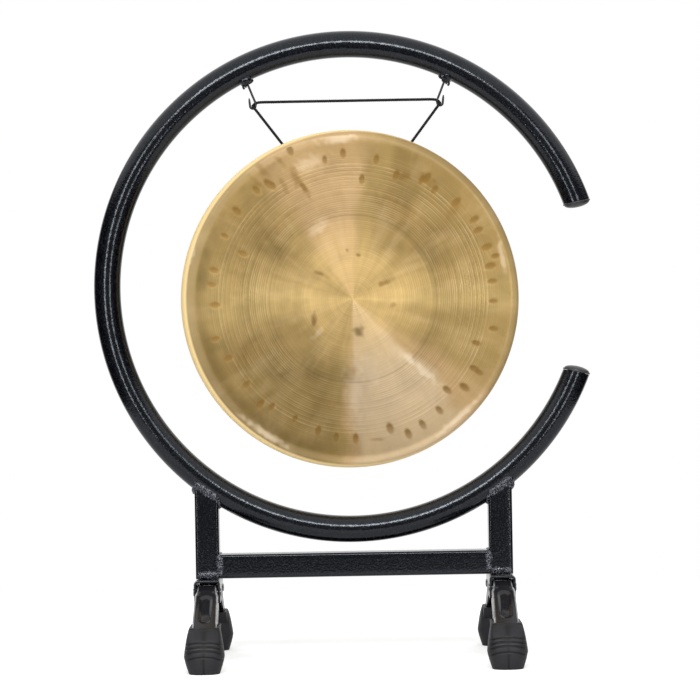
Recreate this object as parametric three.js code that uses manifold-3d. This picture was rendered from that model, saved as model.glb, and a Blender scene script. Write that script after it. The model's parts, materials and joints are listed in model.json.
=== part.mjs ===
import * as THREE from "three";
import { mergeVertices } from "three/addons/utils/BufferGeometryUtils.js";
import Module from "manifold-3d";

// A floor stand for a gong, with its gong: a C-shaped ring of steel tube on two short uprights,
// folding stamped legs in rubber boots, and a flanged gong that hangs on a cord from two wire hooks.
// Millimetres, +Z up. The viewer looks along +Y and has +X on the right. The floor is at Z = 0,
// and the origin lies under the middle of the whole width.

const wasm = await Module();
wasm.setup();

const degrees = THREE.MathUtils.degToRad;

// Clearances
const fitGap = 0.3; // between a piece and the neighbour that it is welded or seated on
const overrun = 8; // how far a cutting tool reaches past what it cuts

// Ring
const ringRadius = 255; // centre line of the bent tube
const ringGap = 10.2; // between the top of the crossbar and the underside of the ring
const ringTubeRadius = 14;
const ringTubeWall = 2;
const mouthUpperAngle = degrees(19.6); // from the ring's centre to the upper end of the tube
const mouthLowerAngle = degrees(21.6); // to the lower end, below the level
const ringEndSlant = degrees(8.5); // of the cut ends, towards the level
const ringSteps = 64;
const ringSides = 16;
const ringBoreSides = 10;

// Plugs in the two ends of the ring
const plugOverhang = 0.6;
const plugFlangeThickness = 1.6;
const plugDomeHeight = 4.4;
const plugSpigotLength = 9;
const plugClearance = 2.4; // about the spigot, which stands askew in the tube
const plugSides = 20;
const plugDomeSteps = 4;

// Square tube of the uprights and the crossbar
const barWidth = 25;
const barWall = 2;
const barCornerRadius = 2.6;
const barCornerSteps = 3;
const uprightOffset = 154; // from the middle of the ring to the middle of an upright
const weldRadius = 2.6;
const weldSides = 6;
const weldSteps = 6;

// Brackets that carry the legs
const bracketTop = 87.5; // above the floor
const bracketLength = 64;
const bracketWidth = 27.4;
const bracketDepth = 23;
const bracketWall = 2.3;
const bracketCornerRadius = 4;
const bracketCornerSteps = 3;

// Pins of the legs
const pinRadius = 3;
const pinOffset = 25; // from the middle of the bracket
const pinHeadRadius = 4.4;
const pinHeadThickness = 1;
const pinHeadEdge = 0.4;
const pinClearance = 0.3;
const pinSides = 12;

// Legs
const legWall = 2;
const legEndRadius = 10; // round end about the pin
const legEndSteps = 8;
const legWebHeight = 11; // from the pin's axis to the outer face
const legEarDepth = 7; // from the pin's axis to the edge of the sides, beside the pin
const legEarLength = 24;
const legSideDepth = 3.4; // from the pin's axis to the edge of the sides, at the far end
const legSideRoom = 1.1; // between the leg and the sides of the bracket
const legNeckEnd = 9;
const legShoulderFlare = 1.9; // of each side, past the neck
const legShoulderEnd = 21;
const legFootFlare = 0.7; // of each side, past the shoulder
const legInsertion = 10; // the end that is hidden in the boot
const legEdgeRadius = 3;
const legEdgeSteps = 3;
const recessStart = 20; // from the pin's axis
const recessLength = 44;
const recessWidth = 11;
const recessDepth = 1.2;
const recessSteps = 6;

// Rubber boots
const bootMouthHeight = 45.5; // top edge of the mouth above the floor
const bootSkin = 2.7; // rubber over the leg, at the mouth
const bootSideSkin = 2.6;
const bootFlare = 5.3; // of each side, from the mouth to the widest part
const bootTopLength = 22; // of the body, level with the mouth
const bootSleeveSkin = 2; // rubber below the leg's sides
const bootSleeveEdgeRadius = 3;
const bootToe = 115.5; // furthest point, from the plane of the ring
const bootToeHeight = 17;
const bootLength = 38; // from the toe to the heel
const bootHeelHeight = 19;
const soleNarrowing = 4.9; // of each side, below the widest part
const soleLength = 26.5;
const soleToeInset = 3; // from the toe
const bootUpperSteps = 5;
const bootLowerSteps = 3;
const bootSides = 20;
const bootMouthRoundness = 5; // exponent of the cross-section, where 2 is an ellipse
const bootRoundness = 2.7;
const soleRoundness = 2.4;
const bootSwell = 0.75; // exponent of the widening below the mouth
const bootTaper = 1.3; // exponent of the narrowing towards the sole

// Eyes welded under the ring
const eyeOffset = 105.5; // from the middle of the ring
const eyeRodRadius = 1.3;
const eyeRadius = 7; // centre line of the half round
const eyeLegLength = 4;
const eyeSteps = 10;
const eyeSides = 8;
const eyeWeldWidth = 15;
const eyeWeldHeight = 10;
const eyeWeldDepth = 7;
const eyeWeldSides = 10;
const eyeWeldRings = 6;

// Wire hooks
const hookWireRadius = 1;
const hookClearance = 0.45; // about the eye's rod
const hookSides = 8;
const hookCurlStart = degrees(-65); // angles about the rod, from the outward direction
const hookCurlEnd = degrees(160);
const hookCurlSteps = 7;
const crookInset = 7; // from the eye to the middle of the lower bend
const crookDrop = 20.4;
const crookRadius = 2.9;
const crookSteps = 6;
const hookWaistShare = 0.45; // place of the wire's belly between its two bends
const hookWaistInset = 0.5;
const hookTipRise = 8;
const hookTipSpread = 0.8;

// Gong
const gongRoom = 77; // between the gong's rim and the centre line of the ring's tube
const gongDrop = 13.5; // middle of the face below the ring's centre
const gongDepth = 33;
const gongThickness = 1.4;
const gongDome = 4;
const gongDomeRadius = 88;
const gongDomeShare = 0.72; // how much of the dome lies inside that radius
const gongShoulderRadius = 8;
const gongShoulderSteps = 3;
const gongFlangeLean = degrees(5);
const gongSides = 64;
const gongHoleAngle = degrees(22.5); // from the top of the gong
const gongHoleRadius = 3;
const gongHoleDepth = 15; // from the rim of the face to the holes
const gongHoleSides = 12;

// Cord, a closed loop with its knot hidden in the back of the gong. Half of it runs from the knot to the
// gong's hole, up to the hook, through its lower bend and back over the top.
const cordRadius = 1.5;
const cordSides = 8;
const knotLength = 10;
const knotRadius = 3;
const knotSides = 10;
// From the knot, as shares of the hole's offset from the middle, and drops below the hole
const cordFromKnot = [
  [0.045, 11.4],
  [0.18, 11.4],
  [0.355, 11.4],
  [0.56, 11.2],
  [0.74, 10.4],
];
// At the hole, as offsets outward and up from it
const cordAtHole = [
  [-10.9, -9],
  [-6.3, -6.4],
  [-3.1, -3.4],
  [0.1, 0.6],
];
const cordRiseShares = [0.15, 0.34, 0.535, 0.73, 0.89]; // of the way from the hole to the hook
// At the hook, as offsets outward, back and up from the middle of its lower bend
const cordAtHook = [
  [-3.6, -2.8, -5.2],
  [-1.8, -2.85, -3],
  [-0.6, -2.5, -1.5],
  [-0.1, -1.3, -0.4],
  [0, 0, 0],
  [-0.1, 1.3, 0],
  [-0.7, 2.3, 1.1],
  [-2.6, 2.85, 2.8],
  [-5.8, 2.5, 3.7],
  [-11.6, 1.5, 3.9],
];
// Over the top, as shares of the hook's offset from the middle, and places behind the ring's plane
const cordOverTop = [
  [0.78, 0.7],
  [0.66, 0.2],
  [0.52, 0],
  [0.38, 0],
  [0.24, 0],
  [0.1, 0],
];
const cordTopRise = 3.8; // over the middle of the hook's lower bend

// Places that follow from the sizes above
const barHalf = barWidth / 2;
const uprightFoot = bracketTop + fitGap;
const crossbarHeight = uprightFoot + barHalf;
const ringHeight = uprightFoot + barWidth + ringGap + ringTubeRadius + ringRadius; // of its centre
const pinHeight = bracketTop - bracketWall - fitGap - legEndRadius;
const legLean = Math.atan2(bootToe - pinOffset, pinHeight - bootToeHeight); // from the vertical
const leanSin = Math.sin(legLean);
const leanCos = Math.cos(legLean);
const legNeckWidth = bracketWidth - 2 * (bracketWall + legSideRoom);
const legShoulderWidth = legNeckWidth + 2 * legShoulderFlare;
const legFootWidth = legShoulderWidth + 2 * legFootFlare;
const bootMouthWidth = legFootWidth + 2 * bootSideSkin;
const bootWidth = bootMouthWidth + 2 * bootFlare;
const soleWidth = bootWidth - 2 * soleNarrowing;
const bootMouthTop = legWebHeight + bootSkin;
const bootMouthDistance = (pinHeight + bootMouthTop * leanSin - bootMouthHeight) / leanCos;
const legLength = bootMouthDistance + legInsertion;
const bootSleeveDepth = legEarDepth + bootSleeveSkin; // from the pin's axis to the sleeve's underside
const bootSleeveStart = (pinHeight - bootSleeveDepth * leanSin - bootMouthHeight) / leanCos;
const hookBend = eyeRodRadius + hookClearance + hookWireRadius; // wire's centre line about the rod
const eyeDistance = ringRadius - ringTubeRadius - hookBend - hookWireRadius - fitGap;
const eyeRise = Math.sqrt(eyeDistance ** 2 - eyeOffset ** 2); // rod above the ring's centre
const crookOffset = eyeOffset - crookInset;
const crookRise = eyeRise - crookDrop;
const gongRadius = ringRadius - gongRoom;
const gongHoleReach = gongRadius - (gongHoleDepth - gongShoulderRadius) * Math.tan(gongFlangeLean);
const gongHoleOffset = gongHoleReach * Math.sin(gongHoleAngle);
const gongHoleRise = gongHoleReach * Math.cos(gongHoleAngle); // over the middle of the gong
const gongHingeRise = gongHoleRise - gongDrop; // over the ring's centre

// Colours and finishes
const finish = (color, roughness, metalness) =>
  new THREE.MeshStandardMaterial({ color, roughness, metalness });
const hammeredBlack = () => finish(0x17171b, 0.35, 0.4);
const glossBlack = () => finish(0x101013, 0.15, 0.3);
const rubberBlack = () => finish(0x3a3b3f, 0.8, 0);
const plasticBlack = () => finish(0x1c1c1f, 0.5, 0);
const darkSteel = () => finish(0x2b2b2e, 0.4, 0.8);
const zincSteel = () => finish(0x8c8e92, 0.35, 0.9);
const brass = () => finish(0xc8aa6e, 0.35, 0.95);
const blackCord = () => finish(0x141416, 0.9, 0);

// Solids: a closed geometry goes in, is joined or cut, and comes out again

function solidOf(geometry) {
  const bare = geometry.clone();
  bare.deleteAttribute("normal");
  bare.deleteAttribute("uv");
  const merged = mergeVertices(bare);
  return new wasm.Manifold(
    new wasm.Mesh({
      numProp: 3,
      vertProperties: merged.attributes.position.array,
      triVerts: new Uint32Array(merged.index.array),
    }),
  );
}

function geometryOf(solid) {
  const mesh = solid.getMesh();
  const positions = new Float32Array(mesh.vertProperties);
  const shared = new THREE.BufferGeometry();
  shared.setAttribute("position", new THREE.BufferAttribute(positions, 3));
  shared.setIndex(new THREE.BufferAttribute(new Uint32Array(mesh.triVerts), 1));
  const faceted = shared.toNonIndexed();
  faceted.computeVertexNormals();
  return faceted;
}

const joined = (first, ...others) => others.reduce((sum, next) => sum.add(next), first);
const cut = (first, ...tools) => tools.reduce((rest, tool) => rest.subtract(tool), first);
const box = (width, depth, height, x, y, z) =>
  solidOf(new THREE.BoxGeometry(width, depth, height).translate(x, y, z));

// Where a closed geometry would balance
function centreOfMass(geometry) {
  const place = geometry.attributes.position;
  const corners = [new THREE.Vector3(), new THREE.Vector3(), new THREE.Vector3()];
  const sum = new THREE.Vector3();
  let volume = 0;
  for (let first = 0; first < place.count; first += 3) {
    corners.forEach((corner, index) => corner.fromBufferAttribute(place, first + index));
    const [a, b, c] = corners;
    const share = a.dot(new THREE.Vector3().crossVectors(b, c));
    volume += share;
    sum.addScaledVector(a.clone().add(b).add(c), share / 4);
  }
  return sum.divideScalar(volume);
}

// A curve whose steps fall on its own points, so that tight bends get short steps
class Route extends THREE.CatmullRomCurve3 {
  getPointAt(share, target) {
    return this.getPoint(share, target);
  }

  getTangentAt(share, target) {
    return this.getTangent(share, target);
  }
}

// Centre line of the ring, about the origin of the XZ plane, with its ends made longer by an angle
class RingArc extends THREE.Curve {
  constructor(extension) {
    super();
    this.startAngle = mouthUpperAngle - extension;
    this.endAngle = 2 * Math.PI - mouthLowerAngle + extension;
  }

  getPoint(share, target = new THREE.Vector3()) {
    const angle = THREE.MathUtils.lerp(this.startAngle, this.endAngle, share);
    return target.set(ringRadius * Math.cos(angle), 0, ringRadius * Math.sin(angle));
  }
}

// Outlines

function arcPoints(centreX, centreY, radius, startAngle, endAngle, steps) {
  return Array.from({ length: steps + 1 }, (_, step) => {
    const angle = startAngle + ((endAngle - startAngle) * step) / steps;
    return new THREE.Vector2(centreX + radius * Math.cos(angle), centreY + radius * Math.sin(angle));
  });
}

const roundOutline = (radius, sides) =>
  new THREE.Shape(arcPoints(0, 0, radius, 0, 2 * Math.PI, sides).slice(1));

function squareTubeOutline() {
  const corners = [
    [1, 1, 0],
    [-1, 1, Math.PI / 2],
    [-1, -1, Math.PI],
    [1, -1, -Math.PI / 2],
  ];
  const inset = barHalf - barCornerRadius;
  const outside = corners.flatMap(([x, y, start]) =>
    arcPoints(x * inset, y * inset, barCornerRadius, start, start + Math.PI / 2, barCornerSteps),
  );
  const bore = barHalf - barWall;
  const outline = new THREE.Shape(outside);
  outline.holes.push(new THREE.Path(corners.map(([x, y]) => new THREE.Vector2(x * bore, y * bore))));
  return outline;
}

// Extrusions, each centred along its length

const unitX = new THREE.Vector3(1, 0, 0);
const unitY = new THREE.Vector3(0, 1, 0);
const unitZ = new THREE.Vector3(0, 0, 1);

function extruded(across, up, outline, length) {
  const geometry = new THREE.ExtrudeGeometry(outline, { depth: length, bevelEnabled: false });
  geometry.translate(0, 0, -length / 2);
  const onward = new THREE.Vector3().crossVectors(across, up);
  return geometry.applyMatrix4(new THREE.Matrix4().makeBasis(across, up, onward));
}

const alongX = (outline, length) => extruded(unitY, unitZ, outline, length);
const alongY = (outline, length) => extruded(unitX, unitZ, outline, length);
const alongZ = (outline, length) => extruded(unitX, unitY, outline, length);

const swept = (outline, path, steps) =>
  new THREE.ExtrudeGeometry(outline, { steps, extrudePath: path, bevelEnabled: false });

const rod = (from, to, radius, sides) =>
  solidOf(swept(roundOutline(radius, sides), new THREE.LineCurve3(from, to), 1));

const wire = (points, radius, sides) =>
  swept(roundOutline(radius, sides), new Route(points), points.length - 1);

// A skin over cross-sections with equal numbers of points, closed by flat ends
function loft(sections) {
  const count = sections[0].length;
  const faces = [];
  for (let row = 0; row + 1 < sections.length; row += 1) {
    for (let side = 0; side < count; side += 1) {
      const near = row * count + side;
      const next = row * count + ((side + 1) % count);
      faces.push(near, next, next + count, near, next + count, near + count);
    }
  }
  const last = (sections.length - 1) * count;
  for (let side = 1; side + 1 < count; side += 1) {
    faces.push(0, side + 1, side, last, last + side, last + side + 1);
  }
  const positions = sections.flat().flatMap((point) => point.toArray());
  const geometry = new THREE.BufferGeometry();
  geometry.setAttribute("position", new THREE.Float32BufferAttribute(positions, 3));
  geometry.setIndex(faces);
  return geometry;
}

// Ring, about its own centre

const ringSweep = (radius, sides, extension) =>
  swept(roundOutline(radius, sides), new RingArc(extension), ringSteps);

// The space that the ring's welded neighbours keep clear of
const ringEnvelope = solidOf(ringSweep(ringTubeRadius + fitGap, ringSides, 0));

// The two ends of the tube, from +1 for the upper to -1 for the lower: where each lies, and which way
// it faces
const ringEnds = [
  ["upper", 1, mouthUpperAngle],
  ["lower", -1, mouthLowerAngle],
].map(([name, end, angle]) => {
  const place = new THREE.Vector3(Math.cos(angle), 0, end * Math.sin(angle)).multiplyScalar(ringRadius);
  const facing = angle - ringEndSlant;
  const direction = new THREE.Vector3(Math.sin(facing), 0, -end * Math.cos(facing));
  return { name, place, turn: new THREE.Quaternion().setFromUnitVectors(unitY, direction) };
});

function ringTube() {
  const extension = overrun / ringRadius;
  const tube = solidOf(ringSweep(ringTubeRadius, ringSides, extension));
  const bore = solidOf(ringSweep(ringTubeRadius - ringTubeWall, ringBoreSides, 2 * extension));
  const size = 4 * ringTubeRadius;
  const cutters = ringEnds.map(({ place, turn }) => {
    const cutter = new THREE.BoxGeometry(size, size, size).translate(0, size / 2, 0);
    return solidOf(cutter.applyQuaternion(turn).translate(place.x, place.y, place.z));
  });
  return geometryOf(cut(tube, bore, ...cutters));
}

// A plug stands on +Y, which points out of the tube
function ringPlug() {
  const spigotRadius = ringTubeRadius - ringTubeWall - plugClearance;
  const flangeRadius = ringTubeRadius + plugOverhang;
  const flangeTop = fitGap + plugFlangeThickness;
  const dome = arcPoints(0, 0, 1, 0, Math.PI / 2, plugDomeSteps).slice(0, plugDomeSteps);
  const profile = [
    new THREE.Vector2(0, -plugSpigotLength),
    new THREE.Vector2(spigotRadius, -plugSpigotLength),
    new THREE.Vector2(spigotRadius, fitGap),
    new THREE.Vector2(flangeRadius, fitGap),
    new THREE.Vector2(flangeRadius, flangeTop),
    ...dome.map(({ x, y }) => new THREE.Vector2(x * ringTubeRadius, flangeTop + y * plugDomeHeight)),
    new THREE.Vector2(0, flangeTop + plugDomeHeight),
  ];
  return new THREE.LatheGeometry(profile, plugSides);
}

// Uprights and crossbar

// Height of the ring tube's outer side over the ring's centre, at a place beside the centre line
function ringUnderside(x, y) {
  const reach = ringRadius + Math.sqrt(Math.max(0, ringTubeRadius ** 2 - y ** 2));
  return -Math.sqrt(reach ** 2 - x ** 2);
}

const weldBead = (points) => solidOf(wire(points, weldRadius, weldSides));

function topWelds(middle) {
  const shares = Array.from({ length: weldSteps + 1 }, (_, step) => (2 * step) / weldSteps - 1);
  const at = (x, y) => new THREE.Vector3(x, y, ringUnderside(middle + x, y));
  return [-barHalf, barHalf].flatMap((side) => [
    weldBead(shares.map((share) => at(share * barHalf, side))),
    weldBead(shares.map((share) => at(side, share * barHalf))),
  ]);
}

function footWelds(outward, foot) {
  const outer = outward * barHalf;
  const inner = outward * (2 * weldRadius + fitGap - barHalf);
  const corner = (x, y) => new THREE.Vector3(x, y, foot);
  return [
    rod(corner(inner, -barHalf), corner(outer, -barHalf), weldRadius, weldSides),
    rod(corner(inner, barHalf), corner(outer, barHalf), weldRadius, weldSides),
    rod(corner(outer, -barHalf), corner(outer, barHalf), weldRadius, weldSides),
  ];
}

// An upright in the ring's frame, but with its own middle at X = 0
function upright(outward) {
  const middle = outward * uprightOffset;
  const foot = uprightFoot - ringHeight;
  const tube = solidOf(alongZ(squareTubeOutline(), -foot).translate(0, 0, foot / 2));
  const clearWidth = barWidth - 2 * barWall;
  const bore = box(clearWidth, clearWidth, -2 * foot, 0, 0, foot);
  const insideRing = solidOf(
    new THREE.CylinderGeometry(ringRadius, ringRadius, 2 * barWidth, 2 * ringSteps).translate(
      -middle,
      0,
      0,
    ),
  );
  const welds = joined(...topWelds(middle), ...footWelds(outward, foot));
  const body = joined(cut(tube, insideRing), cut(welds, bore));
  const below = box(bracketLength, bracketLength, overrun, 0, 0, foot - overrun / 2);
  return geometryOf(cut(body, ringEnvelope.translate([-middle, 0, 0]), below));
}

// The crossbar about its own middle, with the weld beads at its ends
function crossbar() {
  const seam = uprightOffset - barHalf;
  const bar = solidOf(alongX(squareTubeOutline(), 2 * (seam - fitGap)));
  const corner = (x, y, z) => new THREE.Vector3(x, y, z);
  const welds = [-seam, seam].flatMap((end) => [
    rod(corner(end, -barHalf, -barHalf), corner(end, -barHalf, barHalf), weldRadius, weldSides),
    rod(corner(end, barHalf, -barHalf), corner(end, barHalf, barHalf), weldRadius, weldSides),
    rod(corner(end, -barHalf, barHalf), corner(end, barHalf, barHalf), weldRadius, weldSides),
  ]);
  const postWidth = barWidth + 2 * fitGap;
  const posts = [-uprightOffset, uprightOffset].map((place) =>
    box(postWidth, postWidth, 2 * barWidth, place, 0, 0),
  );
  const below = box(4 * uprightOffset, 2 * barWidth, overrun, 0, 0, -barHalf - overrun / 2);
  return geometryOf(cut(joined(bar, ...welds), ...posts, below));
}

// Brackets and pins. A bracket's frame has its middle at the origin and its top at Z = 0.

function footBracket() {
  const half = bracketWidth / 2;
  const inner = half - bracketWall;
  const innerRadius = bracketCornerRadius - bracketWall;
  const inset = half - bracketCornerRadius;
  const corner = (side, radius, start, end) =>
    arcPoints(side * inset, -bracketCornerRadius, radius, start, end, bracketCornerSteps);
  const outline = new THREE.Shape([
    new THREE.Vector2(half, -bracketDepth),
    ...corner(1, bracketCornerRadius, 0, Math.PI / 2),
    ...corner(-1, bracketCornerRadius, Math.PI / 2, Math.PI),
    new THREE.Vector2(-half, -bracketDepth),
    new THREE.Vector2(-inner, -bracketDepth),
    ...corner(-1, innerRadius, Math.PI, Math.PI / 2),
    ...corner(1, innerRadius, Math.PI / 2, 0),
    new THREE.Vector2(inner, -bracketDepth),
  ]);
  const pinDrop = pinHeight - bracketTop;
  const holes = [-pinOffset, pinOffset].map((place) =>
    rod(
      new THREE.Vector3(-bracketWidth, place, pinDrop),
      new THREE.Vector3(bracketWidth, place, pinDrop),
      pinRadius + pinClearance,
      pinSides,
    ),
  );
  return geometryOf(cut(solidOf(alongY(outline, bracketLength)), ...holes));
}

function legPin() {
  const shoulder = bracketWidth / 2 + fitGap;
  const tip = shoulder + pinHeadThickness;
  const head = [
    [pinRadius, shoulder],
    [pinHeadRadius, shoulder],
    [pinHeadRadius, shoulder + pinHeadEdge],
    [pinHeadRadius / 2, tip],
    [0, tip],
  ];
  const otherHead = head.map(([radius, place]) => [radius, -place]).reverse();
  const profile = [...otherHead, ...head].map(([radius, place]) => new THREE.Vector2(radius, place));
  return new THREE.LatheGeometry(profile, pinSides).rotateZ(Math.PI / 2);
}

// Legs. A leg's frame has its pin on the X axis, and the open leg leans towards -Y. A place on the leg
// is given across it, along it from the pin, and outward from the pin.

const onLeg = (across, distance, outward) =>
  new THREE.Vector3(
    across,
    -distance * leanSin - outward * leanCos,
    outward * leanSin - distance * leanCos,
  );

// Depth of the leg's sides at a distance from the pin
const sideDepthAt = (distance) =>
  THREE.MathUtils.mapLinear(distance, legEarLength, legLength, legEarDepth, legSideDepth);

// Cross-sections of a channel with its outer edges rounded, from pairs of distance and width. A third
// number is a bottom of the station's own.
function channelSections(stations, top, bottom, radius) {
  return stations.map(([distance, width, low = bottom]) => {
    const inset = width / 2 - radius;
    const outline = [
      new THREE.Vector2(-width / 2, low),
      new THREE.Vector2(width / 2, low),
      ...arcPoints(inset, top - radius, radius, 0, Math.PI / 2, legEdgeSteps),
      ...arcPoints(-inset, top - radius, radius, Math.PI / 2, Math.PI, legEdgeSteps),
    ];
    return outline.map(({ x, y }) => onLeg(x, distance, y));
  });
}

// Side view of a leg: round about the pin, with a flat on top that bears on the bracket
function legSideView() {
  const at = (distance, outward) => {
    const { y, z } = onLeg(0, distance, outward);
    return new THREE.Vector2(y, z);
  };
  const flatStart = Math.PI - Math.atan2(leanSin, leanCos);
  const flatLength = (legWebHeight - legEndRadius * leanSin) / leanCos;
  const flatEnd = flatLength * leanSin - legEndRadius * leanCos;
  const earEnd = Math.PI + Math.asin(legEarDepth / legEndRadius);
  return new THREE.Shape([
    ...arcPoints(0, 0, legEndRadius, flatStart, earEnd, legEndSteps).map(({ x, y }) => at(x, y)),
    at(legEarLength, -legEarDepth),
    at(legLength, -legSideDepth),
    at(legLength, legWebHeight + overrun),
    at(flatEnd, legWebHeight + overrun),
    at(flatEnd, legWebHeight),
  ]);
}

// The long pressed recess in the outer face
function legRecess() {
  const radius = recessWidth / 2;
  const near = -recessStart - radius;
  const far = radius - recessStart - recessLength;
  const outline = new THREE.Shape([
    ...arcPoints(0, near, radius, 0, Math.PI, recessSteps),
    ...arcPoints(0, far, radius, Math.PI, 2 * Math.PI, recessSteps),
  ]);
  const tool = new THREE.ExtrudeGeometry(outline, { depth: overrun, bevelEnabled: false });
  const towardsPin = onLeg(0, -1, 0);
  const outward = onLeg(0, 0, 1);
  const floor = onLeg(0, 0, legWebHeight - recessDepth);
  tool.applyMatrix4(new THREE.Matrix4().makeBasis(unitX, towardsPin, outward).setPosition(floor));
  return solidOf(tool);
}

function leg() {
  const widths = [
    [legNeckEnd, legNeckWidth],
    [legShoulderEnd, legShoulderWidth],
    [legLength, legFootWidth],
  ];
  const back = -legEndRadius - overrun;
  const outside = [[back, legNeckWidth], ...widths];
  const inside = [[back - overrun, legNeckWidth], ...widths, [legLength + overrun, legFootWidth]].map(
    ([distance, width]) => [distance, width - 2 * legWall],
  );
  const shell = solidOf(loft(channelSections(outside, legWebHeight, back, legEdgeRadius)));
  const hollow = solidOf(
    loft(channelSections(inside, legWebHeight - legWall, back - overrun, legEdgeRadius - legWall)),
  );
  const reach = 2 * legFootWidth;
  const pinHole = rod(
    new THREE.Vector3(-reach, 0, 0),
    new THREE.Vector3(reach, 0, 0),
    pinRadius + pinClearance,
    pinSides,
  );
  const sideView = solidOf(alongX(legSideView(), reach));
  return geometryOf(cut(shell, hollow, pinHole, legRecess()).intersect(sideView));
}

// Boots, in the leg's frame: a sleeve along the leg, cut off level at the mouth, runs into a round body.
// The body's cross-sections go down from the mouth to the flat sole. Each runs from a rear point to a
// front point of the side view.

function bootSections() {
  const onFloor = (outward, height) => new THREE.Vector2(pinOffset - outward, height - pinHeight);
  const { lerp } = THREE.MathUtils;
  const { y, z } = onLeg(0, bootMouthDistance, bootMouthTop);
  const mouthFront = new THREE.Vector2(y, z);
  const mouthRear = new THREE.Vector2(y + bootTopLength, z);
  const toe = onFloor(bootToe, bootToeHeight);
  const heel = onFloor(bootToe - bootLength, bootHeelHeight);
  const toeCorner = new THREE.Vector2(toe.x, mouthFront.y + ((toe.x - mouthFront.x) * leanCos) / leanSin);
  const heelCorner = new THREE.Vector2(mouthRear.x, (mouthRear.y + heel.y) / 2);
  const soleFront = onFloor(bootToe - soleToeInset, 0);
  const soleRear = onFloor(bootToe - soleToeInset - soleLength, 0);
  const upperFront = new THREE.QuadraticBezierCurve(mouthFront, toeCorner, toe);
  const upperRear = new THREE.QuadraticBezierCurve(mouthRear, heelCorner, heel);
  const toeFoot = new THREE.Vector2(toe.x, (toe.y + soleFront.y) / 2);
  const heelFoot = new THREE.Vector2(heel.x, (heel.y + soleRear.y) / 2);
  const lowerFront = new THREE.QuadraticBezierCurve(toe, toeFoot, soleFront);
  const lowerRear = new THREE.QuadraticBezierCurve(heel, heelFoot, soleRear);
  const upper = Array.from({ length: bootUpperSteps }, (_, step) => {
    const share = step / bootUpperSteps;
    return {
      front: upperFront.getPoint(share),
      rear: upperRear.getPoint(share),
      width: lerp(bootMouthWidth, bootWidth, share ** bootSwell),
      roundness: lerp(bootMouthRoundness, bootRoundness, share),
    };
  });
  const lower = Array.from({ length: bootLowerSteps + 1 }, (_, step) => {
    const share = step / bootLowerSteps;
    return {
      front: lowerFront.getPoint(share),
      rear: lowerRear.getPoint(share),
      width: lerp(bootWidth, soleWidth, share ** bootTaper),
      roundness: lerp(bootRoundness, soleRoundness, share),
    };
  });
  return [...upper, ...lower];
}

// The sleeve before its mouth is cut, from above the mouth to the front of the mouth
function bootSleeve() {
  const stations = [
    [bootSleeveStart - overrun, bootMouthWidth],
    [bootMouthDistance, bootMouthWidth],
  ];
  return solidOf(loft(channelSections(stations, bootMouthTop, -bootSleeveDepth, bootSleeveEdgeRadius)));
}

function boot() {
  const circle = arcPoints(0, 0, 1, 0, 2 * Math.PI, bootSides).slice(1);
  const sections = bootSections().map(({ front, rear, width, roundness }) => {
    const rounded = (value) => Math.sign(value) * Math.abs(value) ** (2 / roundness);
    return circle.map(({ x, y }) => {
      const share = (1 + rounded(y)) / 2;
      const { x: along, y: height } = rear.clone().lerp(front, share);
      return new THREE.Vector3((rounded(x) * width) / 2, along, height);
    });
  });
  const pocketWidth = legFootWidth + 2 * fitGap;
  const pocket = [bootSleeveStart - 2 * overrun, legLength + fitGap].map((distance) => [
    distance,
    pocketWidth,
    -sideDepthAt(distance) - fitGap,
  ]);
  const mouth = bootMouthHeight - pinHeight;
  const size = 2 * bootToe;
  const above = box(size, size, size, 0, 0, mouth + size / 2);
  const body = joined(solidOf(loft(sections)), cut(bootSleeve(), above));
  const hollow = loft(channelSections(pocket, legWebHeight + fitGap, 0, legEdgeRadius));
  return geometryOf(cut(body, solidOf(hollow)));
}

// Eyes and hooks, in the ring's frame. Outward is -1 on the left and 1 on the right.

function eye(outward) {
  const x = outward * eyeOffset;
  const middle = eyeRise + eyeRadius;
  const round = arcPoints(0, middle, eyeRadius, Math.PI, 2 * Math.PI, eyeSteps);
  const top = middle + eyeLegLength;
  const points = [
    new THREE.Vector3(x, -eyeRadius, top),
    ...round.map(({ x: y, y: z }) => new THREE.Vector3(x, y, z)),
    new THREE.Vector3(x, eyeRadius, top),
  ];
  const slope = outward * Math.atan2(eyeOffset, eyeRise);
  const welds = [-eyeRadius, eyeRadius].map((place) => {
    const lump = new THREE.SphereGeometry(1, eyeWeldSides, eyeWeldRings);
    lump.scale(eyeWeldWidth / 2, eyeWeldDepth / 2, eyeWeldHeight / 2);
    return solidOf(lump.rotateY(slope).translate(x, place, middle));
  });
  const staple = solidOf(wire(points, eyeRodRadius, eyeSides));
  return geometryOf(cut(joined(staple, ...welds), ringEnvelope));
}

// The wire goes over the eye's rod, down its inner side to the lower bend and up to the tip
function hook(outward) {
  const curl = arcPoints(eyeOffset, eyeRise, hookBend, hookCurlStart, hookCurlEnd, hookCurlSteps);
  const crook = arcPoints(crookOffset, crookRise, crookRadius, Math.PI, 2 * Math.PI, crookSteps);
  const waist = curl.at(-1).clone().lerp(crook[0], hookWaistShare);
  waist.x -= hookWaistInset;
  const tip = crook.at(-1).clone().add(new THREE.Vector2(hookTipSpread, hookTipRise));
  const straight = crook[0].clone();
  straight.y += crookRadius;
  const points = [...curl, waist, straight, ...crook, tip];
  return wire(
    points.map(({ x, y }) => new THREE.Vector3(outward * x, 0, y)),
    hookWireRadius,
    hookSides,
  );
}

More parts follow.
